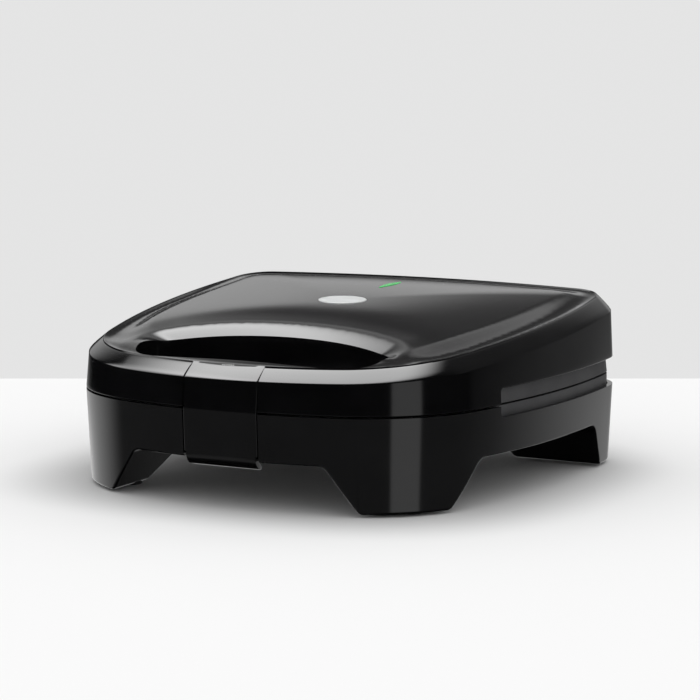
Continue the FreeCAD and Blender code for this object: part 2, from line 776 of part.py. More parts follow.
def tab_sheet(y, z, reach, drop, thick):
    """Quarter-round sheet from the panel's foot at (y, z), inwards by reach and down by drop."""
    half = dim("tab_half")
    turn = math.sqrt(0.5)
    outer = [V(-half, y, z), V(-half, y + reach * (1 - turn), z - drop * turn), V(-half, y + reach, z - drop)]
    back_z = z - drop + thick * dim("tab_thin")
    inner_reach = reach - thick
    inner_drop = z - back_z
    inner = [
        V(-half, y + reach, back_z),
        V(-half, y + thick + inner_reach * (1 - turn), z - inner_drop * turn),
        V(-half, y + thick, z),
    ]
    edges = [
        Part.Arc(*outer).toShape(),
        Part.LineSegment(outer[-1], inner[0]).toShape(),
        Part.Arc(*inner).toShape(),
        Part.LineSegment(inner[-1], outer[0]).toShape(),
    ]
    return Part.Face(Part.Wire(edges)).extrude(X_AXIS * 2 * half)


# ---------------------------------------------------------------- plate frames
def frame_common(skirt, web, seat, direction):
    """Trim both frames share: open at the latch, short of the hinges, window, sunk screw seats."""
    shape = skirt.fuse(web).removeSplitter()
    low, high = shape.BoundBox.ZMin - PAST, shape.BoundBox.ZMax + PAST
    wide = NOTCH_HALF + RECESS_CHEEK + RECESS_GAP
    recess = from_front(dim("base_recess") + RECESS_WALL + RECESS_GAP)
    shape = shape.cut(box(-wide, wide, FRONT - PAST, recess, low, high))
    shape = shape.cut(box(-HALF_WIDTH, HALF_WIDTH, FRAME_REAR, REAR + PAST, low, high))
    half_x = dim("plate_width") / 2 - dim("plate_seat")
    half_y = dim("plate_length") / 2 - dim("plate_seat")
    window = box(-half_x, half_x, PLATE_Y - half_y, PLATE_Y + half_y, low, high)
    corners = [edge for edge in window.Edges if abs(edge.Vertexes[0].Z - edge.Vertexes[1].Z) > 1]
    shape = shape.cut(window.makeFillet(dim("plate_corner") - dim("plate_seat"), corners))
    face = seat - direction * 2 * dim("screw_head")
    for x, y in boss_places():
        shape = shape.cut(cylinder_z(dim("screw_radius") + dim("fit_clearance"), low, high, x, y))
        head_room = dim("screw_head_radius") + dim("loose_clearance")
        shape = shape.cut(cylinder_z(head_room, min(seat, face), max(seat, face), x, y))
    return shape


def frame_ring(bottom, top, inset_bottom, inset_top):
    """Skirt under the outline, closed by a straight wall in front of the hinges."""
    skirt = dim("frame_skirt")
    outer = Part.makeLoft([outline(inset_bottom, bottom), outline(inset_top, top)], True, True)
    low = outline(inset_bottom + skirt, bottom)
    high = outline(inset_top + skirt, top)
    inner = Part.makeLoft([low, high], True, True)
    behind = box(-HALF_WIDTH, HALF_WIDTH, FRAME_REAR - skirt, REAR + PAST, bottom - PAST, top + PAST)
    return outer.cut(inner.cut(behind))


def upper_plate_frame():
    inset = dim("frame_inset")
    top = LID_BOTTOM + dim("frame_depth")
    skirt = frame_ring(LID_BOTTOM, top, inset, inset + dim("frame_draft"))
    web = prism(outline(inset + WEB_LAP, 0), LID_BOTTOM, WEB_UPPER)
    return frame_common(skirt, web, UPPER_SEAT, 1)


def lower_plate_frame():
    inset = dim("frame_inset")
    bottom = BASE_TOP - dim("frame_depth")
    skirt = frame_ring(bottom, BASE_TOP, inset, inset)
    web = prism(outline(inset + WEB_LAP, 0), WEB_LOWER, BASE_TOP)
    return frame_common(skirt, web, LOWER_SEAT, -1)


# ---------------------------------------------------------------- screws, pins, springs, wires
def screw(x, y, seat, direction, length):
    """Pan-head screw: seat is the face its head bears on, direction the way its shank points."""
    head_start = seat - direction * dim("screw_head")
    head = cylinder_z(dim("screw_head_radius"), min(head_start, seat), max(head_start, seat), x, y)
    tip = seat + direction * length
    shank = cylinder_z(dim("screw_radius"), min(seat, tip), max(seat, tip), x, y)
    wide, long = dim("screw_slot_width") / 2, dim("screw_slot_length") / 2
    deep = dim("screw_slot_depth")
    slot = box(x - wide, x + wide, y - long, y + long, 0, deep)
    slot.translate(V(0, 0, head_start if direction > 0 else head_start - deep))
    return head.fuse(shank).cut(slot).removeSplitter()


def feature(label, shape):
    item = doc.addObject("Part::Feature", label)
    item.Label = label
    item.Shape = shape
    item.Placement = shape.Placement
    return item


def screw_group(places, seat, direction, length):
    return Part.makeCompound([screw(x, y, seat, direction, length) for x, y in places])


def torsion_spring():
    """Coils round the latch pin, in the hollow at the middle of the barrel."""
    turns = dim("spring_turns")
    wire_radius = dim("spring_wire")
    half = dim("spring_room") - dim("spring_end_gap")
    coil_radius = dim("latch_pin_radius") + dim("spring_gap") + wire_radius
    pitch = 2 * half / turns
    helix = Part.makeHelix(pitch, pitch * turns, coil_radius)
    ring = Part.makeCircle(wire_radius, V(coil_radius, 0, 0), Y_AXIS)
    coil = Part.Wire([helix.Edges[0]]).makePipeShell([Part.Wire([ring])], True, True)
    coil.rotate(V(0, 0, 0), Y_AXIS, RIGHT_ANGLE)
    coil.translate(V(-half, LATCH_Y, LATCH_Z))
    return coil


# ---------------------------------------------------------------- bodies made by features
def new_body(label):
    body = doc.addObject("PartDesign::Body", "Body_" + label)
    body.Label = label
    return body


def origin_plane(body, role):
    return [item for item in body.Origin.OriginFeatures if item.Role == role][0]


def new_sketch(body, name, role="XY_Plane", shift=(None, None, None)):
    sketch = body.newObject("Sketcher::SketchObject", body.Label + "_" + name)
    sketch.AttachmentSupport = [(origin_plane(body, role), "")]
    sketch.MapMode = "FlatFace"
    for axis, text in zip("xyz", shift):
        if text:
            sketch.setExpression("AttachmentOffset.Base." + axis, text)
    return sketch


def rectangle(sketch, width, height):
    """Rectangle centred on the sketch's origin; width and height are expressions."""
    corners = [V(-10, -5, 0), V(10, -5, 0), V(10, 5, 0), V(-10, 5, 0)]
    first = sketch.GeometryCount
    for start, end in zip(corners, corners[1:] + corners[:1]):
        sketch.addGeometry(Part.LineSegment(start, end))
    for side in range(4):
        sketch.addConstraint(
            Sketcher.Constraint("Coincident", first + side, 2, first + (side + 1) % 4, 1))
    for side in (0, 2):
        sketch.addConstraint(Sketcher.Constraint("Horizontal", first + side))
        sketch.addConstraint(Sketcher.Constraint("Vertical", first + side + 1))
    sketch.addConstraint(Sketcher.Constraint("Symmetric", first, 1, first + 1, 2, -1, 1))
    wide = sketch.addConstraint(Sketcher.Constraint("DistanceX", first, 1, first, 2, 20))
    high = sketch.addConstraint(Sketcher.Constraint("DistanceY", first + 1, 1, first + 1, 2, 10))
    sketch.setExpression("Constraints[%d]" % wide, width)
    sketch.setExpression("Constraints[%d]" % high, height)


def circle(sketch, radius, x=None, y=None):
    """Circle whose radius and centre are expressions; centred when x and y are left out."""
    index = sketch.addGeometry(Part.Circle(V(3, 4, 0), Z_AXIS, 2))
    if x is None and y is None:
        sketch.addConstraint(Sketcher.Constraint("Coincident", index, 3, -1, 1))
    else:
        across = sketch.addConstraint(Sketcher.Constraint("DistanceX", -1, 1, index, 3, 3))
        sketch.setExpression("Constraints[%d]" % across, x or "0")
        along = sketch.addConstraint(Sketcher.Constraint("DistanceY", -1, 1, index, 3, 4))
        sketch.setExpression("Constraints[%d]" % along, y or "0")
    size = sketch.addConstraint(Sketcher.Constraint("Radius", index, 2))
    sketch.setExpression("Constraints[%d]" % size, radius)


def pad(body, sketch, name, length, back=False):
    item = body.newObject("PartDesign::Pad", body.Label + "_" + name)
    item.Profile = sketch
    item.setExpression("Length", length)
    item.Reversed = back
    doc.recompute()
    return item


def pocket(body, sketch, name, length, back=False):
    """Pocket that must take material away."""
    before = body.Shape.Volume
    item = body.newObject("PartDesign::Pocket", body.Label + "_" + name)
    item.Profile = sketch
    item.setExpression("Length", length)
    item.Reversed = back
    doc.recompute()
    if body.Shape.Volume > before - 1.0:
        raise RuntimeError("pocket %s cuts nothing" % item.Label)
    return item


def pattern(body, item, sketch, axis, name, length, count):
    line = body.newObject("PartDesign::LinearPattern", body.Label + "_" + name)
    line.Originals = [item]
    line.Direction = (sketch, [axis])
    line.setExpression("Length", length)
    line.setExpression("Occurrences", count)
    body.Tip = line
    doc.recompute()
    return line


def upright_edges(shape):
    names = []
    for number, edge in enumerate(shape.Edges, start=1):
        ends = [vertex.Point for vertex in edge.Vertexes]
        if len(ends) == 2 and abs(ends[0].z - ends[1].z) > 1 and abs(ends[0].x - ends[1].x) < SAME:
            names.append("Edge%d" % number)
    return names


def round_corners(body, feature_item, name, radius):
    fillet = body.newObject("PartDesign::Fillet", body.Label + "_" + name)
    fillet.Base = (feature_item, upright_edges(feature_item.Shape))
    fillet.setExpression("Radius", radius)
    doc.recompute()
    return fillet


def place(body, x="0", y="0", z="0", turn=None):
    """Puts a body at expressions for its position, turned by an axis and an angle."""
    if turn:
        axis, angle = turn
        body.Placement = FreeCAD.Placement(V(0, 0, 0), FreeCAD.Rotation(axis, angle))
    body.setExpression("Placement.Base.x", x)
    body.setExpression("Placement.Base.y", y)
    body.setExpression("Placement.Base.z", z)


FRONT_EXPRESSION = "(0 - Dims.body_depth / 2)"
PLATE_Y_EXPRESSION = FRONT_EXPRESSION + " + Dims.plate_centre"
UPPER_PLATE_Z = "Dims.split_height + Dims.split_gap / 2 + Dims.frame_web"
LOWER_PLATE_Z = "Dims.split_height - Dims.split_gap / 2 - Dims.frame_web"
FLIP = (X_AXIS, HALF_TURN)


def grill_plate(label, height, turn):
    """Cast plate with a sunk pan and ribs; the sandwich side is its local underside."""
    body = new_body(label)
    outline_sketch = new_sketch(body, "outline")
    rectangle(outline_sketch, "Dims.plate_width", "Dims.plate_length")
    block = pad(body, outline_sketch, "block", "Dims.plate_thick")
    round_corners(body, block, "corners", "Dims.plate_corner")
    pan_sketch = new_sketch(body, "pan_outline")
    rectangle(pan_sketch, "Dims.plate_width - 2 * Dims.plate_lip", "Dims.plate_length - 2 * Dims.plate_lip")
    pocket(body, pan_sketch, "pan", "Dims.pan_depth", back=True)
    first = "0 - Dims.rib_pitch * (Dims.rib_count - 1) / 2"
    rib_sketch = new_sketch(body, "rib_outline", shift=(first, None, "Dims.pan_depth - Dims.rib_height"))
    rectangle(rib_sketch, "Dims.rib_width", "Dims.plate_length - 2 * Dims.plate_lip - 2 * Dims.rib_end_gap")
    rib = pad(body, rib_sketch, "rib", "Dims.rib_height + Dims.rib_root")
    pattern(body, rib, rib_sketch, "H_Axis", "ribs", "Dims.rib_pitch * (Dims.rib_count - 1)", "Dims.rib_count")
    place(body, y=PLATE_Y_EXPRESSION, z=height, turn=turn)
    return body


def heating_element(label, height, turn):
    """U-shaped tube lying on the back of a plate, with a contact pin at each end."""
    body = new_body(label)
    half = dim("element_half")
    run = dim("element_run")
    turn_x = -dim("element_turn")
    path = new_sketch(body, "path", shift=(None, None, "Dims.plate_thick + Dims.element_radius"))
    path.addGeometry(Part.LineSegment(V(run, half, 0), V(turn_x, half, 0)))
    bend = Part.Circle(V(turn_x, 0, 0), Z_AXIS, half)
    path.addGeometry(Part.ArcOfCircle(bend, math.pi / 2, 3 * math.pi / 2))
    path.addGeometry(Part.LineSegment(V(turn_x, -half, 0), V(run, -half, 0)))
    path.addConstraint(Sketcher.Constraint("Tangent", 0, 2, 1, 1))
    path.addConstraint(Sketcher.Constraint("Tangent", 1, 2, 2, 1))
    path.addConstraint(Sketcher.Constraint("Horizontal", 0))
    path.addConstraint(Sketcher.Constraint("Symmetric", 0, 1, 2, 2, -1))
    reach = path.addConstraint(Sketcher.Constraint("DistanceX", -1, 1, 0, 1, run))
    path.setExpression("Constraints[%d]" % reach, "Dims.element_run")
    back = path.addConstraint(Sketcher.Constraint("DistanceX", 0, 2, -1, 1, -turn_x))
    path.setExpression("Constraints[%d]" % back, "Dims.element_turn")
    width = path.addConstraint(Sketcher.Constraint("Radius", 1, half))
    path.setExpression("Constraints[%d]" % width, "Dims.element_half")
    level = "Dims.plate_thick + Dims.element_radius"
    profile = new_sketch(body, "profile", "YZ_Plane", ("Dims.element_half", level, "Dims.element_run"))
    circle(profile, "Dims.element_radius - Dims.running_clearance")
    pipe = body.newObject("PartDesign::AdditivePipe", label + "_tube")
    pipe.Profile = profile
    pipe.Spine = (path, ["Edge1", "Edge2", "Edge3"])
    doc.recompute()
    for side, sign in (("left", ""), ("right", "0 - ")):
        start = "Dims.element_run - Dims.element_pin_root"
        pins = new_sketch(body, side + "_pin", "YZ_Plane", (sign + "Dims.element_half", level, start))
        circle(pins, "Dims.element_pin_radius")
        pad(body, pins, side + "_contact", "Dims.element_pin_length + Dims.element_pin_root")
    place(body, y=PLATE_Y_EXPRESSION, z=height, turn=turn)
    return body


def reflector(label, height, turn):
    """Sheet tray over the element, open towards the plate, with a hole in its middle."""
    body = new_body(label)
    level = "Dims.plate_thick"
    outer = new_sketch(body, "outline", shift=(None, None, level))
    rectangle(outer, "Dims.reflector_width", "Dims.reflector_length")
    block = pad(body, outer, "block", "Dims.reflector_depth")
    round_corners(body, block, "corners", "Dims.reflector_corner")
    inner = new_sketch(body, "hollow", shift=(None, None, level))
    inside = " - 2 * Dims.sheet_metal"
    rectangle(inner, "Dims.reflector_width" + inside, "Dims.reflector_length" + inside)
    pocket(body, inner, "tray", "Dims.reflector_depth - Dims.sheet_metal", back=True)
    middle = new_sketch(body, "middle_hole", shift=(None, None, level))
    circle(middle, "Dims.reflector_hole")
    pocket(body, middle, "opening", "Dims.reflector_depth + Dims.past", back=True)
    holes = new_sketch(body, "screw_holes", shift=(None, None, level))
    for sign in ("", "0 - "):
        circle(holes, "Dims.screw_radius + Dims.fit_clearance", sign + "Dims.reflector_screw_place", "0")
    pocket(body, holes, "holes", "Dims.reflector_depth + Dims.past", back=True)
    place(body, y=PLATE_Y_EXPRESSION, z=height, turn=turn)
    return body


def spacer_screws(label, base, direction):
    """Two screws with long collars that hold a reflector to the back of its plate."""
    items = []
    start = base + direction * dim("plate_thick")
    roof = start + direction * dim("reflector_depth")
    inside = roof - direction * dim("sheet_metal")
    for side in (-1, 1):
        x = side * dim("reflector_screw_place")
        collar = cylinder_z(dim("collar_radius"), min(start, inside), max(start, inside), x, PLATE_Y)
        shank = cylinder_z(dim("screw_radius"), min(inside, roof), max(inside, roof), x, PLATE_Y)
        top = roof + direction * dim("screw_head")
        head = cylinder_z(dim("screw_head_radius"), min(roof, top), max(roof, top), x, PLATE_Y)
        items.append(collar.fuse(shank).fuse(head).removeSplitter())
    return feature(label, Part.makeCompound(items))


def thermostat(label, height, turn):
    """Round capsule on the plate's back, standing through the reflector, with two blades."""
    body = new_body(label)
    foot = new_sketch(body, "case_outline", shift=(None, None, "Dims.plate_thick"))
    circle(foot, "Dims.thermostat_radius")
    standing = "Dims.reflector_depth + Dims.thermostat_standout"
    pad(body, foot, "case", standing)
    rim = new_sketch(body, "rim_outline", shift=(None, None, "Dims.plate_thick + " + standing))
    circle(rim, "Dims.thermostat_rim")
    pad(body, rim, "rim", "Dims.thermostat_rim_height")
    top = "Dims.plate_thick + %s + (Dims.thermostat_rim_height - Dims.thermostat_standout)" % standing
    for side, sign in (("left", "0 - "), ("right", "")):
        blade = new_sketch(body, side + "_blade", shift=(sign + "Dims.blade_place", None, top))
        rectangle(blade, "Dims.blade_thick", "Dims.blade_width")
        pad(body, blade, side + "_tab", "Dims.blade_height")
    place(body, y=PLATE_Y_EXPRESSION, z=height, turn=turn)
    return body


def thermal_fuse(label, height, turn):
    """Small clip-mounted cut-out beside the upper plate's middle."""
    body = new_body(label)
    base = new_sketch(body, "clip_outline", shift=(None, "Dims.fuse_place", "Dims.plate_thick"))
    rectangle(base, "Dims.fuse_clip_length", "Dims.fuse_clip_width")
    pad(body, base, "clip", "Dims.fuse_clip_thick")
    axis = ("Dims.fuse_place", "Dims.plate_thick + Dims.fuse_height", "0 - Dims.fuse_length / 2")
    case = new_sketch(body, "case_outline", "YZ_Plane", axis)
    circle(case, "Dims.fuse_radius")
    pad(body, case, "case", "Dims.fuse_length")
    place(body, y=PLATE_Y_EXPRESSION, z=height, turn=turn)
    return body


def bottom_cover():
    """Flat panel under the floor's window, with a row of vents and four screw holes."""
    body = new_body("bottom_cover")
    panel_sketch = new_sketch(body, "outline")
    rectangle(panel_sketch, "Dims.cover_width", "Dims.cover_length")
    panel = pad(body, panel_sketch, "panel", "Dims.cover_thick")
    round_corners(body, panel, "corners", "Dims.cover_corner")
    row = "Dims.vent_pitch * (Dims.vent_count - 1)"
    vent_sketch = new_sketch(body, "vent_outline", shift=("0 - (%s) / 2" % row, None, None))
    rectangle(vent_sketch, "Dims.vent_width", "Dims.vent_length")
    vent = pocket(body, vent_sketch, "vent", "Dims.cover_thick + Dims.past", back=True)
    pattern(body, vent, vent_sketch, "H_Axis", "vents", row, "Dims.vent_count")
    holes = new_sketch(body, "screw_holes")
    across = "(Dims.cover_width / 2 - Dims.cover_overlap)"
    along = "(Dims.cover_length / 2 - Dims.cover_overlap)"
    for x_sign in ("", "0 - "):
        for y_sign in ("", "0 - "):
            circle(holes, "Dims.screw_radius + Dims.fit_clearance", x_sign + across, y_sign + along)
    pocket(body, holes, "holes", "Dims.cover_thick + Dims.past", back=True)
    place(body, y=FRONT_EXPRESSION + " + Dims.cover_centre", z="Dims.arch_height - Dims.cover_thick")
    return body


def terminal_block():
    """Block on the floor with three wire ways and the screws' wells above them."""
    body = new_body("terminal_block")
    base = new_sketch(body, "outline")
    rectangle(base, "Dims.terminal_width", "Dims.terminal_length")
    pad(body, base, "block", "Dims.terminal_height")
    behind = "0 - Dims.terminal_length / 2 - Dims.past"
    start = ("0 - Dims.terminal_pitch", "Dims.terminal_way_rise", behind)
    ways = new_sketch(body, "way_outline", "XZ_Plane", start)
    circle(ways, "Dims.terminal_way")
    way = pocket(body, ways, "way", "Dims.terminal_length + 2 * Dims.past", back=True)
    pattern(body, way, ways, "H_Axis", "ways", "2 * Dims.terminal_pitch", "3")
    y = FRONT_EXPRESSION + " + Dims.terminal_place"
    place(body, x="Dims.gland_place", y=y, z="Dims.arch_height + Dims.floor_thick")
    return body


def knuckle_body(label, x, direction, reach, rear_face):
    """Hinge half: a round knuckle on the pin and an arm up into the lid or down to the base."""
    body = new_body(label)
    start = "0 - Dims.knuckle_length / 2"
    ring = new_sketch(body, "ring", "YZ_Plane", (None, None, start))
    circle(ring, "Dims.knuckle_radius")
    pad(body, ring, "knuckle", "Dims.knuckle_length")
    width = "(Dims.knuckle_radius + %s)" % rear_face
    middle = "(%s - Dims.knuckle_radius) / 2" % rear_face
    height = "%s(%s) / 2" % ("0 - " if direction < 0 else "", reach)
    arm = new_sketch(body, "arm_outline", "YZ_Plane", (middle, height, start))
    rectangle(arm, width, reach)
    pad(body, arm, "arm", "Dims.knuckle_length")
    bore = new_sketch(body, "bore_outline", "YZ_Plane", (None, None, start))
    clearance = "Dims.running_clearance" if direction > 0 else "Dims.snug_clearance"
    circle(bore, "Dims.hinge_pin_radius + " + clearance)
    pocket(body, bore, "bore", "Dims.knuckle_length + Dims.past", back=True)
    place(body, x=x, y="Dims.body_depth / 2 - Dims.hinge_inset", z="Dims.split_height")
    return body


def hinge(side, sign):
    """Base knuckle, lid knuckle outside it, and the pin through both."""
    step = "(Dims.knuckle_length + Dims.knuckle_gap) / 2"
    inner = "%s(Dims.hinge_place - %s)" % (sign, step)
    outer = "%s(Dims.hinge_place + %s)" % (sign, step)
    floor = "Dims.split_height - Dims.arch_height - Dims.floor_thick"
    base = knuckle_body("base_hinge_bracket_" + side, inner, -1, floor, "Dims.bracket_back")
    arm = knuckle_body("lid_hinge_arm_" + side, outer, 1, "Dims.lid_arm_reach", "0")
    pin = new_body("hinge_pin_" + side)
    span = "2 * Dims.knuckle_length + Dims.knuckle_gap + 2 * Dims.hinge_pin_end"
    shaft = new_sketch(pin, "shaft_outline", "YZ_Plane", (None, None, "0 - (%s) / 2" % span))
    circle(shaft, "Dims.hinge_pin_radius")
    pad(pin, shaft, "shaft", span)
    place(pin, x="%sDims.hinge_place" % sign, y="Dims.body_depth / 2 - Dims.hinge_inset", z="Dims.split_height")
    return [base, arm, pin]


def cord_gland():
    """Round grommet through the rear wall, flanged inside and out, for the supply cord."""
    body = new_body("cord_gland")
    outside = "0 - Dims.gland_flange_thick - Dims.fit_clearance"
    inside = "Dims.wall + Dims.gland_inner_gap"
    span = "Dims.wall + Dims.gland_inner_gap + Dims.gland_inner_thick + Dims.gland_tail"
    barrel = new_sketch(body, "barrel_outline", "XZ_Plane", (None, None, "0 - Dims.past"))
    circle(barrel, "Dims.gland_radius")
    pad(body, barrel, "barrel", span + " + Dims.past")
    flange = new_sketch(body, "flange_outline", "XZ_Plane", (None, None, outside))
    circle(flange, "Dims.gland_flange")
    pad(body, flange, "flange", "Dims.gland_flange_thick")
    inner = new_sketch(body, "inner_outline", "XZ_Plane", (None, None, inside))
    circle(inner, "Dims.gland_flange")
    pad(body, inner, "inner_flange", "Dims.gland_inner_thick")
    bore = new_sketch(body, "bore_outline", "XZ_Plane", (None, None, outside + " - Dims.past"))
    circle(bore, "Dims.gland_bore")
    pocket(body, bore, "bore", span + " + Dims.gland_flange_thick + 3 * Dims.past", back=True)
    wall_y = gland_wall() - GLAND_SEAT + dim("fit_clearance")
    body.Placement.Base = V(dim("gland_place"), wall_y, dim("gland_height"))
    return body


def lamp_parts():
    """Holder under the window with the neon lamp lying in it."""
    y = from_front(dim("lens_place"))
    top = dome_height(y) - WALL - dim("holder_gap")
    holder = new_body("lamp_holder")
    outline_sketch = new_sketch(holder, "outline", shift=(None, None, "0 - Dims.holder_height"))
    rectangle(outline_sketch, "Dims.holder_width", "Dims.lens_length + 2 * Dims.holder_end")
    pad(holder, outline_sketch, "block", "Dims.holder_height")
    way = new_sketch(holder, "way_outline", "XZ_Plane", (None, "0 - Dims.lamp_drop", "0 - Dims.lens_length"))
    circle(way, "Dims.lamp_radius + Dims.fit_clearance")
    pocket(holder, way, "way", "2 * Dims.lens_length", back=True)
    window = new_sketch(holder, "window_outline")
    rectangle(window, "Dims.lens_width + Dims.holder_gap", "Dims.lens_length + Dims.holder_gap")
    pocket(holder, window, "window", "Dims.window_depth")
    holder.Placement.Base = V(0, y, top)
    lamp = new_body("indicator_lamp")
    glass = new_sketch(lamp, "glass_outline", "XZ_Plane", (None, None, "0 - Dims.lamp_length / 2"))
    circle(glass, "Dims.lamp_radius")
    pad(lamp, glass, "glass", "Dims.lamp_length")
    lamp.Placement.Base = V(0, y, top - dim("lamp_drop"))
    return [holder, lamp]


def keeper_blanks(grow):
    """Two steel lugs let into the cheeks of the base's shaft, beside the tab."""
    lugs = []
    z = SPLIT - dim("keeper_drop") - dim("keeper_height")
    y = from_front(dim("keeper_front"))
    for side in (-1, 1):
        near = side * (dim("tab_half") + dim("keeper_gap"))
        far = side * (NOTCH_HALF + RECESS_CHEEK - dim("keeper_cover"))
        lugs.append(box(
            min(near, far) - grow, max(near, far) + grow, y - grow, y + dim("keeper_length") + grow,
            z - grow, z + dim("keeper_height") + grow))
    return lugs


def tube(points, radius, bend):
    """Round wire along straight runs joined by tangent arcs."""
    edges = []
    start = points[0]
    for corner, after in zip(points[1:-1], points[2:]):
        before = (corner - start).normalize()
        onward = (after - corner).normalize()
        half_turn = before.getAngle(onward) / 2
        back = bend * math.tan(half_turn)
        first = corner - before * back
        last = corner + onward * back
        inward = (onward - before).normalize()
        middle = corner + inward * (bend / math.cos(half_turn) - bend)
        edges.append(Part.LineSegment(start, first).toShape())
        edges.append(Part.Arc(first, middle, last).toShape())
        start = last
    edges.append(Part.LineSegment(start, points[-1]).toShape())
    path = Part.Wire(edges)
    direction = (points[1] - points[0]).normalize()
    ring = Part.Wire([Part.makeCircle(radius, points[0], direction)])
    return path.makePipeShell([ring], True, False)


def base_wiring():
    """Leads over the floor: two to the thermostat's blades, one to the reflector's screw."""
    way = BASE_FLOOR + dim("terminal_way_rise")
    blade = REFLECTOR_LOW - dim("wire_end_drop")
    tray = REFLECTOR_LOW - dim("earth_end_drop")
    low = way - dim("wire_radius")
    start_y = from_front(dim("terminal_place")) - MARGIN
    middle_y = PLATE_Y
    pitch = dim("terminal_pitch")
    x = dim("gland_place")
    right = [V(x - pitch, start_y, way), V(x - pitch, middle_y + 24, low), V(7, middle_y + 12, low)]
    right.append(V(4, middle_y + 2.8, blade))
    earth = [V(x, start_y, way), V(x, middle_y + 12, low), V(29.6, middle_y + 0.5, tray)]
    left = [V(x + pitch, start_y, way), V(x + pitch, middle_y - 16, low), V(2, middle_y - 16, low)]
    left.append(V(-4, middle_y - 3.0, blade))
    radius, bend = dim("wire_radius"), dim("wire_bend")
    return Part.makeCompound([tube(points, radius, bend) for points in (right, earth, left)])


# ---------------------------------------------------------------- the assembly
nodes = [
    feature("lid_shell", lid_shell()),
    feature("badge_plate", badge_plate()),
    feature("indicator_lens", indicator_lens()),
    feature("upper_plate_frame", upper_plate_frame()),
    feature("base_shell", base_shell()),
    feature("lower_plate_frame", lower_plate_frame()),
    feature("rubber_feet", rubber_feet()),
    feature("latch", latch()),
    feature("latch_spring", torsion_spring()),
    feature("upper_frame_screws", screw_group(boss_places(), UPPER_SEAT, 1, dim("screw_length"))),
    feature("lower_frame_screws", screw_group(boss_places(), LOWER_SEAT, -1, dim("screw_length"))),
    feature("bottom_cover_screws", screw_group(
        cover_screw_places(), dim("arch_height") - dim("cover_thick"), 1, dim("cover_thick") + FLOOR_THICK)),
    feature("base_wiring", base_wiring()),
    feature("latch_keepers", Part.makeCompound(keeper_blanks(0))),
    grill_plate("upper_grill_plate", UPPER_PLATE_Z, None),
    grill_plate("lower_grill_plate", LOWER_PLATE_Z, FLIP),
    heating_element("upper_heating_element", UPPER_PLATE_Z, None),
    heating_element("lower_heating_element", LOWER_PLATE_Z, FLIP),
    reflector("upper_heat_reflector", UPPER_PLATE_Z, None),
    reflector("lower_heat_reflector", LOWER_PLATE_Z, FLIP),
    spacer_screws("upper_reflector_screws", WEB_UPPER, 1),
    spacer_screws("lower_reflector_screws", WEB_LOWER, -1),
    thermostat("thermostat", LOWER_PLATE_Z, FLIP),
    thermal_fuse("thermal_fuse", UPPER_PLATE_Z, None),
    bottom_cover(),
    terminal_block(),
    cord_gland(),
]
nodes += hinge("left", "0 - ")
nodes += hinge("right", "")
nodes += lamp_parts()

latch_pin = doc.addObject("Part::Cylinder", "latch_pin")
latch_pin.Label = "latch_pin"
latch_pin.setExpression("Radius", "Dims.latch_pin_radius")
pin_end = "Dims.latch_half + Dims.latch_side_gap + Dims.latch_pin_boss - Dims.pin_cover - Dims.pin_end_gap"
pin_turn = FreeCAD.Rotation(Y_AXIS, RIGHT_ANGLE)
latch_pin.setExpression("Height", "2 * (%s)" % pin_end)
latch_pin.Placement = FreeCAD.Placement(V(0, LATCH_Y, LATCH_Z), pin_turn)
latch_pin.setExpression("Placement.Base.x", "0 - (%s)" % pin_end)
nodes.append(latch_pin)

doc.recompute()
for item in doc.Objects:
    if "Invalid" in item.State or "Error" in item.State:
        raise RuntimeError("%s failed: %s" % (item.Label, item.State))
for node in nodes:
    if node.Shape.isNull() or not node.Shape.isValid():
        raise RuntimeError("%s has no valid shape" % node.Label)
for node in nodes:
    node.Shape.exportStep("parts/%s.step" % node.Label)
    print(node.Label, len(node.Shape.Solids), round(node.Shape.Volume))
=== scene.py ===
import math

import bmesh
import bpy
import numpy as np
from mathutils import Matrix, Vector
from mathutils.geometry import delaunay_2d_cdt


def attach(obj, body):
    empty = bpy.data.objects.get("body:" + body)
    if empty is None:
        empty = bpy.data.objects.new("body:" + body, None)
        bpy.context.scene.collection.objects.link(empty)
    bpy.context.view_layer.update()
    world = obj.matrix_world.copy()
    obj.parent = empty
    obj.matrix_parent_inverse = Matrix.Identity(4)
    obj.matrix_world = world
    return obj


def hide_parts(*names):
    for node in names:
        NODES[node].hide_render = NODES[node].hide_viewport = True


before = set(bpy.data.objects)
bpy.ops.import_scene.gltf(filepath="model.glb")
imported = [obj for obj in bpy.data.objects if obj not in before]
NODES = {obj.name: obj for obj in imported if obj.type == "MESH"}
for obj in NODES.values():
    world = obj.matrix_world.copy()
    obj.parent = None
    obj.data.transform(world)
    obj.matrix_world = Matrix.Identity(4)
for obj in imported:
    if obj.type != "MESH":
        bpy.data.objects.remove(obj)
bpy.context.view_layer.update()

MM = 0.001

# ------------------------------------------------------------ sizes of the press, millimetres
DEPTH = 242.3
FRONT = -DEPTH / 2
BEYOND = 140.0          # outside the press on any side, for cutters that pass right through
FLANK = 60.0            # further than this from the middle is front, rear or side

# Plan outline, front centre to rear centre: turn in degrees, radius, columns
ARCS = ((15.11, 237.55, 26), (60.40, 70.6, 44), (21.04, 412.75, 50), (74.64, 29.46, 34), (8.81, 637.6, 26))
FRONT_RADIUS = ARCS[0][1]
ARCS_HALF_WIDTH = 124.785
PLAN_HALF_WIDTH = 124.74

SKIN = 2.6
LEG_FOOT = 1.5
BASE_TOP = 49.2
BASE_TAPER = 2.28 / BASE_TOP
BASE_CEILING = 27.6     # underside of the hollow above the legs
LID_FOOT = 50.2
RIDGE_FRONT, RIDGE_RISE, RIDGE_INSET = 65.4, 0.084, 1.55
CREST_FRONT, CREST_RISE, CREST_INSET = 71.2, 0.094, 9.2
CREST_SINK = 0.14

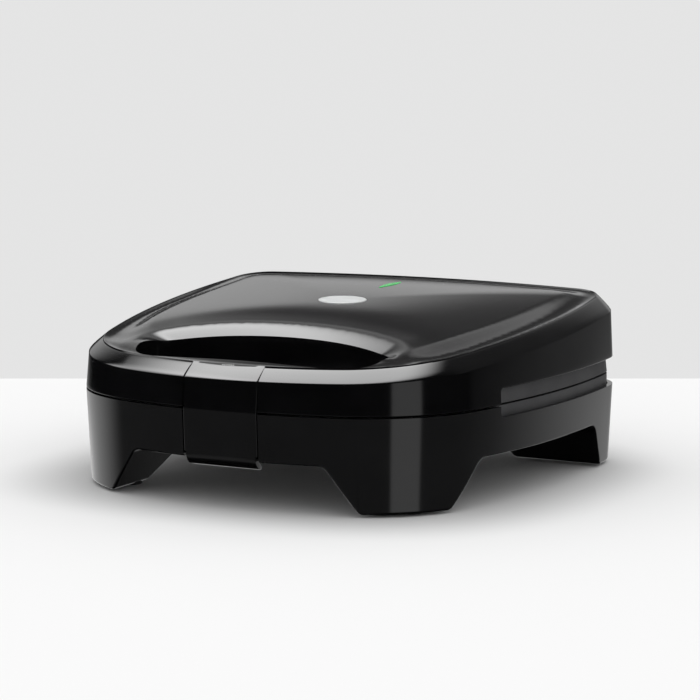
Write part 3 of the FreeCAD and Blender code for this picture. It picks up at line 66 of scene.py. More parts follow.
# Rounding of the wall's free edge (lift, pull), of the ridge (pull, drop), and rows up the chamfer
FREE_EDGE = ((0.0, 0.5), (0.07, 0.25), (0.25, 0.07), (0.5, 0.0))
RIDGE_ROUND = ((-0.02, 0.35), (0.12, 0.08), (0.4, -0.17))
RIDGE_START = 0.8
CHAMFER_SHARES = (0.11, 0.3, 0.5, 0.7, 0.86)
CHAMFER_BULGE = 0.22

# Side slot that shows the plate frames, and the rear opening for the hinge
SLOT_FRONT = FRONT + 79.5
SLOT_ROOF = 58.2
SLOT_SILL = 43.6
SLOT_CORNER = 3.0
REAR_CUT_HALF = 98.0
REAR_CUT_TOP = 61.5

# Arches between the legs: mouth, foot, top, top, foot, mouth
ARCH_TOP = 25.0
ARCH_MOUTH = -2.0
ARCH_ACROSS = (-95.0, -70.9, -54.0, 54.0, 70.9, 95.0)
ARCH_ALONG = (20.0, 47.0, 66.0, 185.0, 197.0, 225.0)
ARCH_BEND_ACROSS, ARCH_BEND_ALONG, FOOT_BEND = 6.0, 9.0, 3.5
LEG_ROUND = 1.4

# Finger pocket and dome in the lid's top
POCKET_FRONT, POCKET_END, POCKET_SHOULDER, POCKET_REAR = 21.5, 42.0, 58.0, 72.0
POCKET_FRONT_HALF, POCKET_END_HALF, POCKET_SHOULDER_HALF = 52.0, 70.5, 62.0
POCKET_FLOOR = 57.5
DOME_MIDDLE = FRONT + 131.0
DOME_RISE = 7.8
DOME_POWER = 2.5
DOME_LEAN = 0.0022
DOME_START, DOME_CLIMB = 6.0, 15.0      # from the crest inwards
VALLEY_DEPTH, VALLEY_FALL = 1.4, 4.0
VALLEY_END, VALLEY_FADE = 7.0, 13.0
ROLL_WIDTH, ROLL_POWER = 10.5, 1.45     # lip rolled over the pocket's edge
SAG_WIDTH = 22.0                        # wider dip round the pocket

# Latch: front plate, barrel round its pivot, pull tab curled under its foot
LATCH_Y = FRONT + 10.6
LATCH_Z = 69.226
BARREL = 3.2
BARREL_PROUD = 0.45
LATCH_FOOT = 28.0
LATCH_WALL = 2.4
TAB_HALF = 20.0
TAB_CORNER = 2.8
TAB_REACH = 9.5
TAB_DROP = 7.6
TAB_THIN = 2.0
SHAFT_DEPTH = 10.4
SHAFT_WALL = 3.0
NOTCH_HALF = 21.55
NOTCH_REAR = LATCH_Y + 3.6
NOTCH_ROOM = 0.4

BADGE_MIDDLE = FRONT + 130.0
BADGE_HALF_WIDTH, BADGE_HALF_DEPTH = 13.5, 10.0
WINDOW_MIDDLE = FRONT + 186.0
WINDOW_HALF_LENGTH, WINDOW_HALF_WIDTH = 13.8, 2.4
GLAND_X, GLAND_Z, GLAND_SEAT = 38.0, 36.0, 8.1
COVER_HALF, COVER_FRONT, COVER_REAR = 63.0, 86.0, 158.0

# Place of the camera: bearing, then millimetres right, up and back from its target
VIEW_AZIMUTH = math.radians(27.925)
VIEW_ELEVATION = math.radians(7.724)
VIEW_TARGET = Vector((0.0, -6.15, 50.0))
VIEW_RIGHT, VIEW_UP, VIEW_BACK = 11.022, 15.979, 1380.347
LENS = 133.79


# ------------------------------------------------------------ outline of the press
def from_front(distance):
    return FRONT + distance


def smooth(value):
    """0 to 1 with level ends."""
    value = np.clip(value, 0.0, 1.0)
    return value * value * (3 - 2 * value)


def ridge_height(y):
    """Sharp ridge where the lid's wall meets its chamfer."""
    return RIDGE_FRONT + RIDGE_RISE * (y - FRONT)


def crest_height(y):
    """Rounded crest where the chamfer meets the lid's top."""
    return CREST_FRONT + CREST_RISE * (y - FRONT)


def outline_columns():
    """Points and outward normals once round the body's plan, starting at the front centre."""
    points, normals = [], []
    spot = np.array([0.0, FRONT])
    heading = 0.0
    for turn, radius, steps in ARCS:
        centre = spot + radius * np.array([-math.sin(heading), math.cos(heading)])
        for step in range(steps):
            angle = heading + math.radians(turn) * step / steps
            out = np.array([math.sin(angle), -math.cos(angle)])
            points.append(centre + radius * out)
            normals.append(out)
        heading += math.radians(turn)
        out = np.array([math.sin(heading), -math.cos(heading)])
        spot = centre + radius * out
    points.append(np.array([0.0, spot[1]]))
    normals.append(np.array([0.0, 1.0]))
    mirrored = range(len(points) - 2, 0, -1)
    points += [points[i] * (-1, 1) for i in mirrored]
    normals += [normals[i] * (-1, 1) for i in mirrored]
    return np.array(points), np.array(normals)


def with_step_columns(plan, out):
    """Adds columns where the slot, the rear opening and the notch begin, so their ends are upright."""
    new_plan, new_out = [], []
    slot_steps = [SLOT_FRONT + o for o in (-0.04, 0.04, 0.35, 0.9, 1.8, 3.0)]
    rear_steps = [side * (REAR_CUT_HALF + o) for side in (-1, 1) for o in (-0.04, 0.04)]
    notch_steps = (-NOTCH_HALF, NOTCH_HALF)
    for here, there, out_here, out_there in zip(plan, np.roll(plan, -1, 0), out, np.roll(out, -1, 0)):
        new_plan.append(here)
        new_out.append(out_here)
        shares = []
        wanted_steps = ((abs(here[0]) > FLANK, 1, slot_steps), (here[1] > FLANK, 0, rear_steps),
                        (here[1] < -FLANK, 0, notch_steps))
        for wanted, axis, steps in wanted_steps:
            span = there[axis] - here[axis]
            if wanted and abs(span) > 1e-6:
                shares += [t for t in ((step - here[axis]) / span for step in steps) if 0 < t < 1]
        for t in sorted(shares):
            new_plan.append(here * (1 - t) + there * t)
            mixed = out_here * (1 - t) + out_there * t
            new_out.append(mixed / np.linalg.norm(mixed))
    return np.array(new_plan), np.array(new_out)


PLAN, PLAN_OUT = with_step_columns(*outline_columns())
PLAN = PLAN * (PLAN_HALF_WIDTH / ARCS_HALF_WIDTH)


def ring(inset):
    return PLAN - PLAN_OUT * inset


# ------------------------------------------------------------ modelling helpers
def wipe_selection():
    if bpy.context.object and bpy.context.object.mode != "OBJECT":
        bpy.ops.object.mode_set(mode="OBJECT")
    bpy.ops.object.select_all(action="DESELECT")


def make_piece(name, verts, faces):
    """A mesh object from points in millimetres, its normals outwards."""
    mesh = bpy.data.meshes.new(name)
    mesh.from_pydata([tuple(float(c) * MM for c in v) for v in verts], [], faces)
    work = bmesh.new()
    work.from_mesh(mesh)
    bmesh.ops.recalc_face_normals(work, faces=work.faces)
    work.to_mesh(mesh)
    work.free()
    piece = bpy.data.objects.new(name, mesh)
    bpy.context.scene.collection.objects.link(piece)
    return piece


def settle(name, size=(1.0, 1.0, 1.0)):
    """Names the primitive just added, scales it and moves its place into its mesh."""
    primitive = bpy.context.object
    primitive.name = name
    primitive.scale = size
    bpy.ops.object.transform_apply()
    return primitive


def box(name, low, high):
    """Cube primitive between two corners in millimetres."""
    low, high = Vector(low) * MM, Vector(high) * MM
    wipe_selection()
    bpy.ops.mesh.primitive_cube_add(size=1.0, location=(low + high) / 2)
    return settle(name, high - low)


def pick(piece):
    wipe_selection()
    piece.select_set(True)
    bpy.context.view_layer.objects.active = piece


def apply_modifier(piece, kind, **settings):
    pick(piece)
    modifier = piece.modifiers.new(kind.lower(), kind)
    for key, value in settings.items():
        setattr(modifier, key, value)
    bpy.ops.object.modifier_apply(modifier=modifier.name)


def cut_away(piece, cutter):
    apply_modifier(piece, "BOOLEAN", operation="DIFFERENCE", object=cutter, solver="EXACT")
    bpy.data.objects.remove(cutter)


def smooth_off(piece, angle=35.0):
    pick(piece)
    bpy.ops.object.shade_smooth_by_angle(angle=math.radians(angle))
    apply_modifier(piece, "WEIGHTED_NORMAL", keep_sharp=True, weight=50)


def prism_through(name, loop, axis):
    """Closed solid of a planar loop pushed right through the press along x or y."""
    count = len(loop)
    ends = (-BEYOND, BEYOND)
    if axis == "y":
        verts = [(a, end, b) for end in ends for a, b in loop]
    else:
        verts = [(end, a, b) for end in ends for a, b in loop]
    faces = [tuple(range(count)), tuple(range(count, 2 * count))]
    faces += [(i, (i + 1) % count, count + (i + 1) % count, count + i) for i in range(count)]
    return make_piece(name, verts, faces)


def stacked_rings(rings):
    """Vertices and faces of a closed tube through rings of equal count."""
    count = len(rings[0])
    verts = [p for one in rings for p in one]
    faces = []
    for level in range(len(rings) - 1):
        a, b = level * count, (level + 1) * count
        faces += [(a + i, a + (i + 1) % count, b + (i + 1) % count, b + i) for i in range(count)]
    last = (len(rings) - 1) * count
    faces += [tuple(range(count)), tuple(range(last, last + count))]
    return verts, faces


# ------------------------------------------------------------ finger pocket and top of the lid
def arc_through(start, middle, end, steps):
    """Points on the arc from start through middle to end, the end left out."""
    (ax, ay), (bx, by), (cx, cy) = start, middle, end
    d = 2 * (ax * (by - cy) + bx * (cy - ay) + cx * (ay - by))
    ux = ((ax**2 + ay**2) * (by - cy) + (bx**2 + by**2) * (cy - ay) + (cx**2 + cy**2) * (ay - by)) / d
    uy = ((ax**2 + ay**2) * (cx - bx) + (bx**2 + by**2) * (ax - cx) + (cx**2 + cy**2) * (bx - ax)) / d
    radius = math.hypot(ax - ux, ay - uy)
    first = math.atan2(ay - uy, ax - ux)
    through = (math.atan2(by - uy, bx - ux) - first) % math.tau
    last = (math.atan2(cy - uy, cx - ux) - first) % math.tau
    if through > last:
        last -= math.tau
    angles = [first + last * i / steps for i in range(steps)]
    return [(ux + radius * math.cos(a), uy + radius * math.sin(a)) for a in angles]


def pocket_loop():
    """Plan of the finger pocket, counter-clockwise from its front left corner."""
    front, rear = from_front(POCKET_FRONT), from_front(POCKET_REAR)
    end_y, shoulder = from_front(POCKET_END), from_front(POCKET_SHOULDER)
    a, b, c = POCKET_FRONT_HALF, POCKET_END_HALF, POCKET_SHOULDER_HALF
    loop = [(-a + 2 * a * i / 44, front) for i in range(44)]
    loop += arc_through((a, front), (b, end_y), (c, shoulder), 22)
    loop += arc_through((c, shoulder), (0.0, rear), (-c, shoulder), 56)
    loop += arc_through((-c, shoulder), (-b, end_y), (-a, front), 22)
    return np.array(loop)


def loop_normals(loop):
    """Outward normals of a plan loop, evened out so that its corners don't fan."""
    along = np.roll(loop, -1, 0) - np.roll(loop, 1, 0)
    out = np.stack([along[:, 1], -along[:, 0]], 1)
    out /= np.linalg.norm(out, axis=1)[:, None]
    for _ in range(3):
        out = (np.roll(out, 1, 0) + 2 * out + np.roll(out, -1, 0)) / 4
        out /= np.linalg.norm(out, axis=1)[:, None]
    return out


def distance_to(loop, points):
    """Least distance from each point to a closed polyline."""
    best = np.full(len(points), 1e9)
    for a, b in zip(loop, np.roll(loop, -1, 0)):
        along = b - a
        t = np.clip(((points - a) @ along) / (along @ along), 0, 1)
        best = np.minimum(best, np.linalg.norm(points - a - t[:, None] * along, axis=1))
    return best


def inside(loop, points):
    """Which points lie inside a closed polyline."""
    x, y = points[:, 0], points[:, 1]
    within = np.zeros(len(points), bool)
    for (ax, ay), (bx, by) in zip(loop, np.roll(loop, -1, 0)):
        crosses = (ay > y) != (by > y)
        if ay != by:
            within ^= crosses & (x < (bx - ax) * (y - ay) / (by - ay) + ax)
    return within


POCKET = pocket_loop()
POCKET_OUT = loop_normals(POCKET)
CREST = ring(CREST_INSET)
CREST_ANGLE = np.arctan2(CREST[:, 1] - DOME_MIDDLE, CREST[:, 0])
CREST_REACH = np.hypot(CREST[:, 1] - DOME_MIDDLE, CREST[:, 0])
ORDER = np.argsort(CREST_ANGLE)


def dome_over(x, y, edge, front):
    """Low dome, steeper at the front and starting nearer the crest at the far left."""
    angle = np.arctan2(y - DOME_MIDDLE, x)
    reach = np.interp(angle, CREST_ANGLE[ORDER], CREST_REACH[ORDER], period=math.tau)
    share = np.clip(np.hypot(x, y - DOME_MIDDLE) / reach, 0, 1)
    far_left = smooth((y - from_front(100.0) - 0.6 * x) / 90.0)
    lean = 1 - DOME_LEAN * (y - DOME_MIDDLE)
    start = DOME_START - 3.0 * far_left - 5.0 * front
    climb = DOME_CLIMB - 4.0 * far_left + 14.0 * front
    return DOME_RISE * (1 - share**DOME_POWER) * lean * smooth((edge - start) / climb)


def top_height(points):
    """Height of the lid's top: valley inside the crest, low dome, rolled lip over the pocket."""
    x, y = points[:, 0], points[:, 1]
    edge = distance_to(CREST, points)
    front = smooth((from_front(80.0) - y) / 45.0)
    rear = smooth((y - from_front(150.0)) / 60.0)
    depth = VALLEY_DEPTH * (1 - 0.85 * rear) * (1 - 0.6 * front)
    valley = depth * smooth(edge / VALLEY_FALL) * (1 - smooth((edge - VALLEY_END) / VALLEY_FADE))
    gap = distance_to(POCKET, points)
    behind = smooth((y - from_front(38.0)) / 22.0)
    roll = np.clip(1 - gap / ROLL_WIDTH, 0, 1) ** ROLL_POWER
    sag = np.exp(-(gap / SAG_WIDTH) ** 2)
    lip = (0.6 + 3.6 * behind) * roll + (1.0 + 2.2 * behind) * sag
    return crest_height(y) + dome_over(x, y, edge, front) - valley - lip


def in_notch(points, spare=0.0):
    """Which plan points lie in the latch's notch."""
    return (abs(points[:, 0]) < NOTCH_HALF + spare) & (points[:, 1] < NOTCH_REAR + spare)


def pocket_loops():
    """The pocket's edge and loops round it that stay clear of the crest and of each other."""
    loops = [POCKET]
    for gap in (0.15, 0.45, 0.95, 1.7, 2.7, 4.0, 5.5, 7.2, 9.0, 11.0, 13.0):
        loop = POCKET + POCKET_OUT * gap
        loop = loop[distance_to(CREST, loop) > gap + 0.9]
        loops.append(loop[abs(distance_to(POCKET, loop) - gap) < 0.05])
    return loops


def crest_loops():
    """Loops inside the crest that stay clear of the pocket and its own loops."""
    loops = []
    for step in (0.35, 0.8, 1.5, 2.5, 3.8, 5.4, 7.2, 9.3, 11.7, 14.2, 17.0):
        loop = ring(CREST_INSET + step)
        loop = loop[distance_to(POCKET, loop) > min(step + 0.9, 14.0)]
        loops.append(loop[~inside(POCKET, loop)])
    return loops


def notch_line():
    """Points along the notch's two sides and rear."""
    ys = np.linspace(NOTCH_REAR, from_front(9.6), 6)
    line = [(-NOTCH_HALF, y) for y in ys[::-1]] + [(x, NOTCH_REAR) for x in np.linspace(-20, 20, 21)]
    return np.array(line + [(NOTCH_HALF, y) for y in ys])


def middle_grid():
    """Staggered grid over what is left of the top."""
    xs, ys = np.meshgrid(np.arange(-112, 112.1, 2.1), np.arange(-108, 112.1, 2.0))
    xs[1::2] += 1.05
    grid = np.stack([xs.ravel(), ys.ravel()], 1)
    grid = grid[inside(ring(CREST_INSET + 18.3), grid)]
    return grid[(distance_to(POCKET, grid) > 14.5) & ~inside(POCKET, grid)]


def top_skin():
    """Triangles of the top with pocket and notch left open: plan points, faces, crest and pocket rows."""
    loops = [loop[~in_notch(loop, NOTCH_ROOM)] for loop in pocket_loops() + crest_loops()]
    points = np.concatenate([CREST] + loops + [notch_line(), middle_grid()])
    crest_count, pocket_count = len(CREST), len(POCKET)
    edges = [(i, (i + 1) % crest_count) for i in range(crest_count)]
    edges += [(crest_count + i, crest_count + (i + 1) % pocket_count) for i in range(pocket_count)]
    plan, _, faces, origin, _, _ = delaunay_2d_cdt([Vector(p) for p in points], edges, [], 0, 1e-5)
    plan = np.array([tuple(p) for p in plan])
    middles = np.array([plan[list(face)].mean(0) for face in faces])
    keep = inside(CREST, middles) & ~inside(POCKET, middles) & ~in_notch(middles)
    where = {old: new for new, olds in enumerate(origin) for old in olds}
    crest_ids = [where[i] for i in range(crest_count)]
    pocket_ids = [where[crest_count + i] for i in range(pocket_count)]
    return plan, [tuple(face) for face, ok in zip(faces, keep) if ok], crest_ids, pocket_ids


# ------------------------------------------------------------ lid
def wall_foot():
    """Height of the lid wall's free edge: the split in front, the slot's roof behind, then the rear cut."""
    behind = PLAN[:, 1] - SLOT_FRONT
    bend = np.clip(1 - behind / SLOT_CORNER, 0, 1)
    drop = SLOT_CORNER * (1 - np.sqrt(np.clip(1 - bend**2, 0, 1)))
    foot = np.where(behind > 0, SLOT_ROOF - drop, LID_FOOT)
    at_rear = (abs(PLAN[:, 0]) < REAR_CUT_HALF) & (PLAN[:, 1] > FLANK)
    return np.where(at_rear, REAR_CUT_TOP, foot)


def wall_inset(z, ridge):
    """How far the lid's leaning wall stands in from the plan."""
    return RIDGE_INSET * (z - LID_FOOT) / (ridge - LID_FOOT)


def chamfer_point(ridge, crest, share):
    """Inset and height on the slightly bulged chamfer, from 0 at the ridge to 1 at the crest."""
    slope = (crest - ridge) / (CREST_INSET - RIDGE_INSET)
    inset = RIDGE_INSET + (CREST_INSET - RIDGE_INSET) * share
    return inset, ridge + slope * (inset - RIDGE_INSET) + CHAMFER_BULGE * math.sin(math.pi * share)


def lid_wall_rows():
    """Rows of the lid's wall and chamfer, a point to each column, from the free edge to the crest."""
    foot = wall_foot()
    ridge, crest = ridge_height(PLAN[:, 1]), crest_height(PLAN[:, 1])
    slope = (crest - ridge) / (CREST_INSET - RIDGE_INSET)
    levels = [(wall_inset(foot + lift, ridge) + pull, foot + lift) for lift, pull in FREE_EDGE]
    low = foot + 0.5
    heights = [low + (ridge - 1.1 - low) * share for share in (0.12, 0.35, 0.65, 0.9)]
    levels += [(wall_inset(z, ridge), z) for z in heights + [ridge - RIDGE_START]]
    levels += [(RIDGE_INSET + pull, ridge - drop) for pull, drop in RIDGE_ROUND]
    levels += [chamfer_point(ridge, crest, share) for share in CHAMFER_SHARES]
    levels += [(CREST_INSET - 0.5, crest - slope * 0.5), (CREST_INSET - 0.22, crest - slope * 0.22 - 0.05)]
    return [np.column_stack([PLAN - PLAN_OUT * np.reshape(inset, (-1, 1)), z]) for inset, z in levels]


def pocket_wall_rows(edge_z):
    """Rows down the pocket's wall and round the bend to its floor."""
    rows = [(pull, edge_z - drop) for pull, drop in ((0.1, 2.0), (0.2, 6.0))]
    bend = ((0.35, 1.6), (0.9, 0.55), (1.8, 0.08), (2.6, 0.0))
    rows += [(pull, np.full(len(POCKET), POCKET_FLOOR + lift)) for pull, lift in bend]
    return [np.column_stack([POCKET - POCKET_OUT * pull, z]) for pull, z in rows]


def lid_outer_skin():
    """Vertices and faces of the lid's outside, open along its free edge and round the notch."""
    plan_top, faces, crest_ids, pocket_ids = top_skin()
    heights = top_height(plan_top)
    heights[crest_ids] = crest_height(plan_top[crest_ids, 1]) - CREST_SINK
    verts = [(x, y, z) for (x, y), z in zip(plan_top, heights)]

    def add_row(row):
        verts.extend(tuple(p) for p in row)
        return list(range(len(verts) - len(row), len(verts)))

    def band(lower, upper):
        nexts = lower[1:] + lower[:1], upper[1:] + upper[:1]
        faces.extend(zip(lower, nexts[0], nexts[1], upper))

    rows = [add_row(row) for row in lid_wall_rows()] + [crest_ids]
    for lower, upper in zip(rows, rows[1:]):
        band(lower, upper)
    middles = np.array([np.mean([verts[i] for i in face], 0) for face in faces])
    faces[:] = [face for face, cut in zip(faces, in_notch(middles)) if not cut]
    rows = [pocket_ids] + [add_row(row) for row in pocket_wall_rows(heights[pocket_ids])]
    for upper, lower in zip(rows, rows[1:]):
        band(lower, upper)
    faces.append(tuple(rows[-1]))
    return verts, faces


def build_lid():
    """Lid moulding: the outside skin given its wall."""
    lid = make_piece("lid_moulding", *lid_outer_skin())
    apply_modifier(lid, "SOLIDIFY", thickness=SKIN * MM, offset=-1.0)
    smooth_off(lid)
    return lid


def build_latch_recess():
    """Second wall behind the latch, with the groove its barrel turns in."""
    room = BARREL + 0.25
    turns = np.radians(range(-130, 1, 13))
    groove = [(LATCH_Y + room * math.cos(a), LATCH_Z + room * math.sin(a)) for a in turns]
    rear = LATCH_Y + 5.6
    top = crest_height(rear) - 3.4
    rings = []
    for x in np.linspace(-NOTCH_HALF - 2.4, NOTCH_HALF + 2.4, 33):
        face = FRONT + x**2 / (2 * FRONT_RADIUS)
        profile = [(face + 4.6, LID_FOOT + 0.2), (face + 5.8, 63.6)] + groove
        profile += [(LATCH_Y + room, top), (rear, top), (rear, LATCH_Z - 5.4)]
        profile += [(face + 8.4, 62.0), (face + 7.0, LID_FOOT + 0.2)]
        rings.append([(x, y, z) for y, z in profile])
    recess = make_piece("lid_latch_recess", *stacked_rings(rings))
    smooth_off(recess)
    return recess


# ------------------------------------------------------------ base
def filleted(points, steps=7):
    """Closed polygon with rounded corners; points are (a, b, corner radius)."""
    loop = []
    count = len(points)
    for i, (a, b, radius) in enumerate(points):
        if not radius:
            loop.append((a, b))
            continue
        here = np.array((a, b))
        before = np.array(points[i - 1][:2]) - here
        after = np.array(points[(i + 1) % count][:2]) - here
        before, after = before / np.linalg.norm(before), after / np.linalg.norm(after)
        half = math.acos(before @ after) / 2
        back = radius / math.tan(half)
        middle = (before + after) / np.linalg.norm(before + after)
        first, last = here + before * back, here + after * back
        bend = here + middle * (radius / math.sin(half) - radius)
        loop += arc_through(tuple(first), tuple(bend), tuple(last), steps) + [tuple(last)]
    return loop


def arch_loop(places, bend):
    """Profile of an arch between two legs, a hair under the soles at its mouth."""
    sole = LEG_FOOT - 0.01
    heights = (sole, sole, ARCH_TOP, ARCH_TOP, sole, sole)
    bends = (0, FOOT_BEND, bend, bend, FOOT_BEND, 0)
    return filleted([(places[0], ARCH_MOUTH, 0), *zip(places, heights, bends), (places[-1], ARCH_MOUTH, 0)])


def round_legs(piece):
    """Bevels the sharp edges of the legs and arches."""
    pick(piece)
    bpy.ops.object.mode_set(mode="EDIT")
    bpy.ops.mesh.select_mode(type="EDGE")
    bpy.ops.mesh.select_all(action="DESELECT")
    work = bmesh.from_edit_mesh(piece.data)
    for edge in work.edges:
        sharp = edge.is_manifold and edge.calc_face_angle(0) > math.radians(28)
        edge.select = sharp and all(v.co.z < 30.0 * MM for v in edge.verts)
    bmesh.update_edit_mesh(piece.data)
    bpy.ops.mesh.bevel(offset=LEG_ROUND * MM, segments=4, clamp_overlap=False, miter_outer="ARC")
    bpy.ops.object.mode_set(mode="OBJECT")


def base_ring(inset, z):
    taper = BASE_TAPER * (BASE_TOP - z)
    return np.column_stack([ring(inset + taper), np.full(len(PLAN), z)])


def base_hollow():
    """Room inside the base, with the latch shaft's walls left standing."""
    hollow = make_piece("hollow", *stacked_rings([base_ring(SKIN, BASE_CEILING), base_ring(SKIN, 55.0)]))
    half = NOTCH_HALF + SHAFT_WALL
    cut_away(hollow, box("block", (-half, FRONT - 5, 20), (half, from_front(SHAFT_DEPTH + 2.0), 60)))
    return hollow


def build_base():
    """Base moulding: leaning wall, arches front, rear and both sides, slot and latch shaft."""
    base = make_piece("base_moulding", *stacked_rings([base_ring(0, LEG_FOOT), base_ring(0, BASE_TOP)]))
    across = arch_loop(ARCH_ACROSS, ARCH_BEND_ACROSS)
    along = arch_loop([from_front(d) for d in ARCH_ALONG], ARCH_BEND_ALONG)
    above = 60.0
    slot = [(SLOT_FRONT, above, 0), (SLOT_FRONT, SLOT_SILL, SLOT_CORNER)]
    slot += [(BEYOND, SLOT_SILL, 0), (BEYOND, above, 0)]
    cut_away(base, prism_through("arch_front_rear", across, "y"))
    cut_away(base, prism_through("arch_sides", along, "x"))
    cut_away(base, prism_through("slot", filleted(slot), "x"))
    round_legs(base)
    cut_away(base, base_hollow())
    cut_away(base, box("shaft", (-NOTCH_HALF, FRONT - 5, -2), (NOTCH_HALF, from_front(SHAFT_DEPTH), above)))
    cover = (-COVER_HALF, from_front(COVER_FRONT), 20), (COVER_HALF, from_front(COVER_REAR), 30)
    cut_away(base, box("cover_opening", *cover))
    wipe_selection()
    seat = {"radius": GLAND_SEAT * MM, "depth": 30 * MM, "location": Vector((GLAND_X, 115, GLAND_Z)) * MM}
    bpy.ops.mesh.primitive_cylinder_add(vertices=48, rotation=(math.pi / 2, 0, 0), **seat)
    cut_away(base, settle("gland_seat"))
    smooth_off(base, 30.0)
    return base


# ------------------------------------------------------------ latch, badge and window
def latch_columns():
    """Places across the latch, each with how far its rounded side edge is pulled in."""
    edge = [(20.9, 0.5), (20.84, 0.24), (20.7, 0.08), (20.45, 0.01), (20.1, 0.0)]
    flat = [20.03, 19.97, 19.7, 19.2, 18.4, 17.2] + list(np.linspace(15.5, 0, 10))
    right = edge + [(x, 0.0) for x in flat]
    return [(-x, pull) for x, pull in right] + right[::-1][1:]


def latch_front(face, pull):
    """Outer profile up both walls, over the ridge and along the chamfer to the crest."""
    ridge, crest = ridge_height(face), crest_height(face)
    base_part = (LATCH_FOOT, 31, 34, 38, 42, 46, 49.0, 49.7)
    lid_part = (50.4, 54, 58, 62, ridge - RIDGE_START)
    front = [(face + BASE_TAPER * (BASE_TOP - z) + pull, z) for z in base_part]
    front += [(face + wall_inset(z, ridge) + pull, z) for z in lid_part]
    front += [(face + RIDGE_INSET + a + pull * 0.7, ridge - b - pull * 0.7) for a, b in RIDGE_ROUND]
    for share in CHAMFER_SHARES:
        inset, z = chamfer_point(ridge, crest, share)
        front.append((face + inset + pull * 0.5, z - pull * 0.8))
    return front + [(face + CREST_INSET - 0.25, crest - 0.1 - pull * 0.8)]


def latch_barrel(x, pull):
    """Barrel round the pivot, kept just proud of the lid's top."""
    turns = np.radians((88, 70, 52, 34, 17, 0, -18, -36, -55, -75, -95, -115))
    y, z = LATCH_Y + BARREL * np.cos(turns), LATCH_Z + BARREL * np.sin(turns)
    roof = top_height(np.column_stack([np.full(len(y), x), y])) + BARREL_PROUD - pull * 0.8
    return list(zip(y, np.minimum(z, roof)))


def latch_inside(face):
    """Inner profile down to the foot."""
    ridge = ridge_height(face)
    inner = [(face + RIDGE_INSET + LATCH_WALL + 0.3, ridge - 1.6), (face + LATCH_WALL + 0.8, 58)]
    inner.append((face + LATCH_WALL, 49.7))
    return inner + [(face + LATCH_WALL + BASE_TAPER * (BASE_TOP - z), z) for z in (40, LATCH_FOOT)]


def latch_tab(x, bow, inner_y, outer_y):
    """Pull tab curled back under the foot; beside the tab the foot is closed flat."""
    if abs(x) >= TAB_HALF:
        return [(inner_y * (1 - t) + outer_y * t, LATCH_FOOT) for t in np.linspace(0.05, 0.95, 12)]
    taper = BASE_TAPER * (BASE_TOP - LATCH_FOOT)
    start, reach = FRONT + taper, TAB_REACH - taper
    corner = max(0.0, abs(x) - (TAB_HALF - TAB_CORNER)) / TAB_CORNER
    extent = 1 - 0.22 * (1 - math.sqrt(max(0.0, 1 - corner * corner)))
    under, over = [], []
    for share in (1.0, 0.85, 0.68, 0.5, 0.33, 0.16):
        a = math.pi / 2 * share * extent
        forward, sunk = 1 - math.cos(a), math.sin(a)
        inner_y = start + LATCH_WALL + (reach - LATCH_WALL) * forward
        under.append((start + bow * (1 - share) + reach * forward, LATCH_FOOT - TAB_DROP * sunk))
        over.append((inner_y, LATCH_FOOT - (TAB_DROP - TAB_THIN) * sunk))
    return over[::-1] + under


def build_latch():
    """Latch: curved front plate from the crest down over both mouldings, barrel on top, tab below."""
    rings = []
    for x, pull in latch_columns():
        bow = x * x / (2 * FRONT_RADIUS)
        front, inner = latch_front(FRONT + bow, pull), latch_inside(FRONT + bow)
        profile = front + latch_barrel(x, pull) + inner + latch_tab(x, bow, inner[-1][0], front[0][0])
        rings.append([(x, y, z) for y, z in profile])
    latch = make_piece("latch_plate", *stacked_rings(rings))
    smooth_off(latch)
    return latch


def conforming_plate(name, loop, middle, levels):
    """Plate whose rings are a loop scaled about its middle, each lifted off the lid's top."""
    loop, centre = np.array(loop), np.array((0.0, middle))
    rings = []
    for scale, lift in levels:
        at = centre + (loop - centre) * scale
        rings.append(np.column_stack([at, top_height(at) + lift]))
    plate = make_piece(name, *stacked_rings(rings))
    smooth_off(plate)
    return plate


def build_badge():
    """Blank oval plate with a rolled edge and a fine sunk border."""
    angles = np.linspace(0, math.tau, 97)[:-1]
    loop = [(BADGE_HALF_WIDTH * math.cos(a), BADGE_MIDDLE + BADGE_HALF_DEPTH * math.sin(a)) for a in angles]
    levels = [(0.05, -0.3), (0.5, -0.3), (1.0, -0.3), (1.0, 0.2), (0.993, 0.34), (0.975, 0.44)]
    levels += [(0.95, 0.48), (0.9, 0.48), (0.89, 0.4), (0.875, 0.4), (0.865, 0.48)]
    levels += [(scale, 0.48) for scale in (0.7, 0.45, 0.2, 0.04)]
    return conforming_plate("badge_oval", loop, BADGE_MIDDLE, levels)


def build_window():
    """Leaf-shaped light window, pointed at both ends, a little proud of the lid."""
    low, high = WINDOW_MIDDLE - WINDOW_HALF_LENGTH, WINDOW_MIDDLE + WINDOW_HALF_LENGTH
    loop = arc_through((0, low), (WINDOW_HALF_WIDTH, WINDOW_MIDDLE), (0, high), 28)
    loop += arc_through((0, high), (-WINDOW_HALF_WIDTH, WINDOW_MIDDLE), (0, low), 28)
    levels = [(0.05, -1.0), (1.0, -1.0), (1.0, 0.05), (0.985, 0.16), (0.94, 0.22), (0.8, 0.24)]
    levels += [(scale, 0.25) for scale in (0.5, 0.2, 0.04)]
    return conforming_plate("light_window", loop, WINDOW_MIDDLE, levels)


# ------------------------------------------------------------ shader nodes
class Socket:
    """A shader value that takes arithmetic: each sum or product adds its Math node."""

    def __init__(self, nodes, link):
        self.nodes = nodes
        self.link = link

    def math(self, operation, *others):
        return self.nodes.node("Math", {"operation": operation}, (self, *others))

    def __add__(self, other):
        return self.math("ADD", other)

    __radd__ = __add__

    def __mul__(self, other):
        return self.math("MULTIPLY", other)

    __rmul__ = __mul__

    def __rsub__(self, other):
        return (self * -1.0) + other

    def clamp(self):
        return self.math("MAXIMUM", 0.0).math("MINIMUM", 1.0)


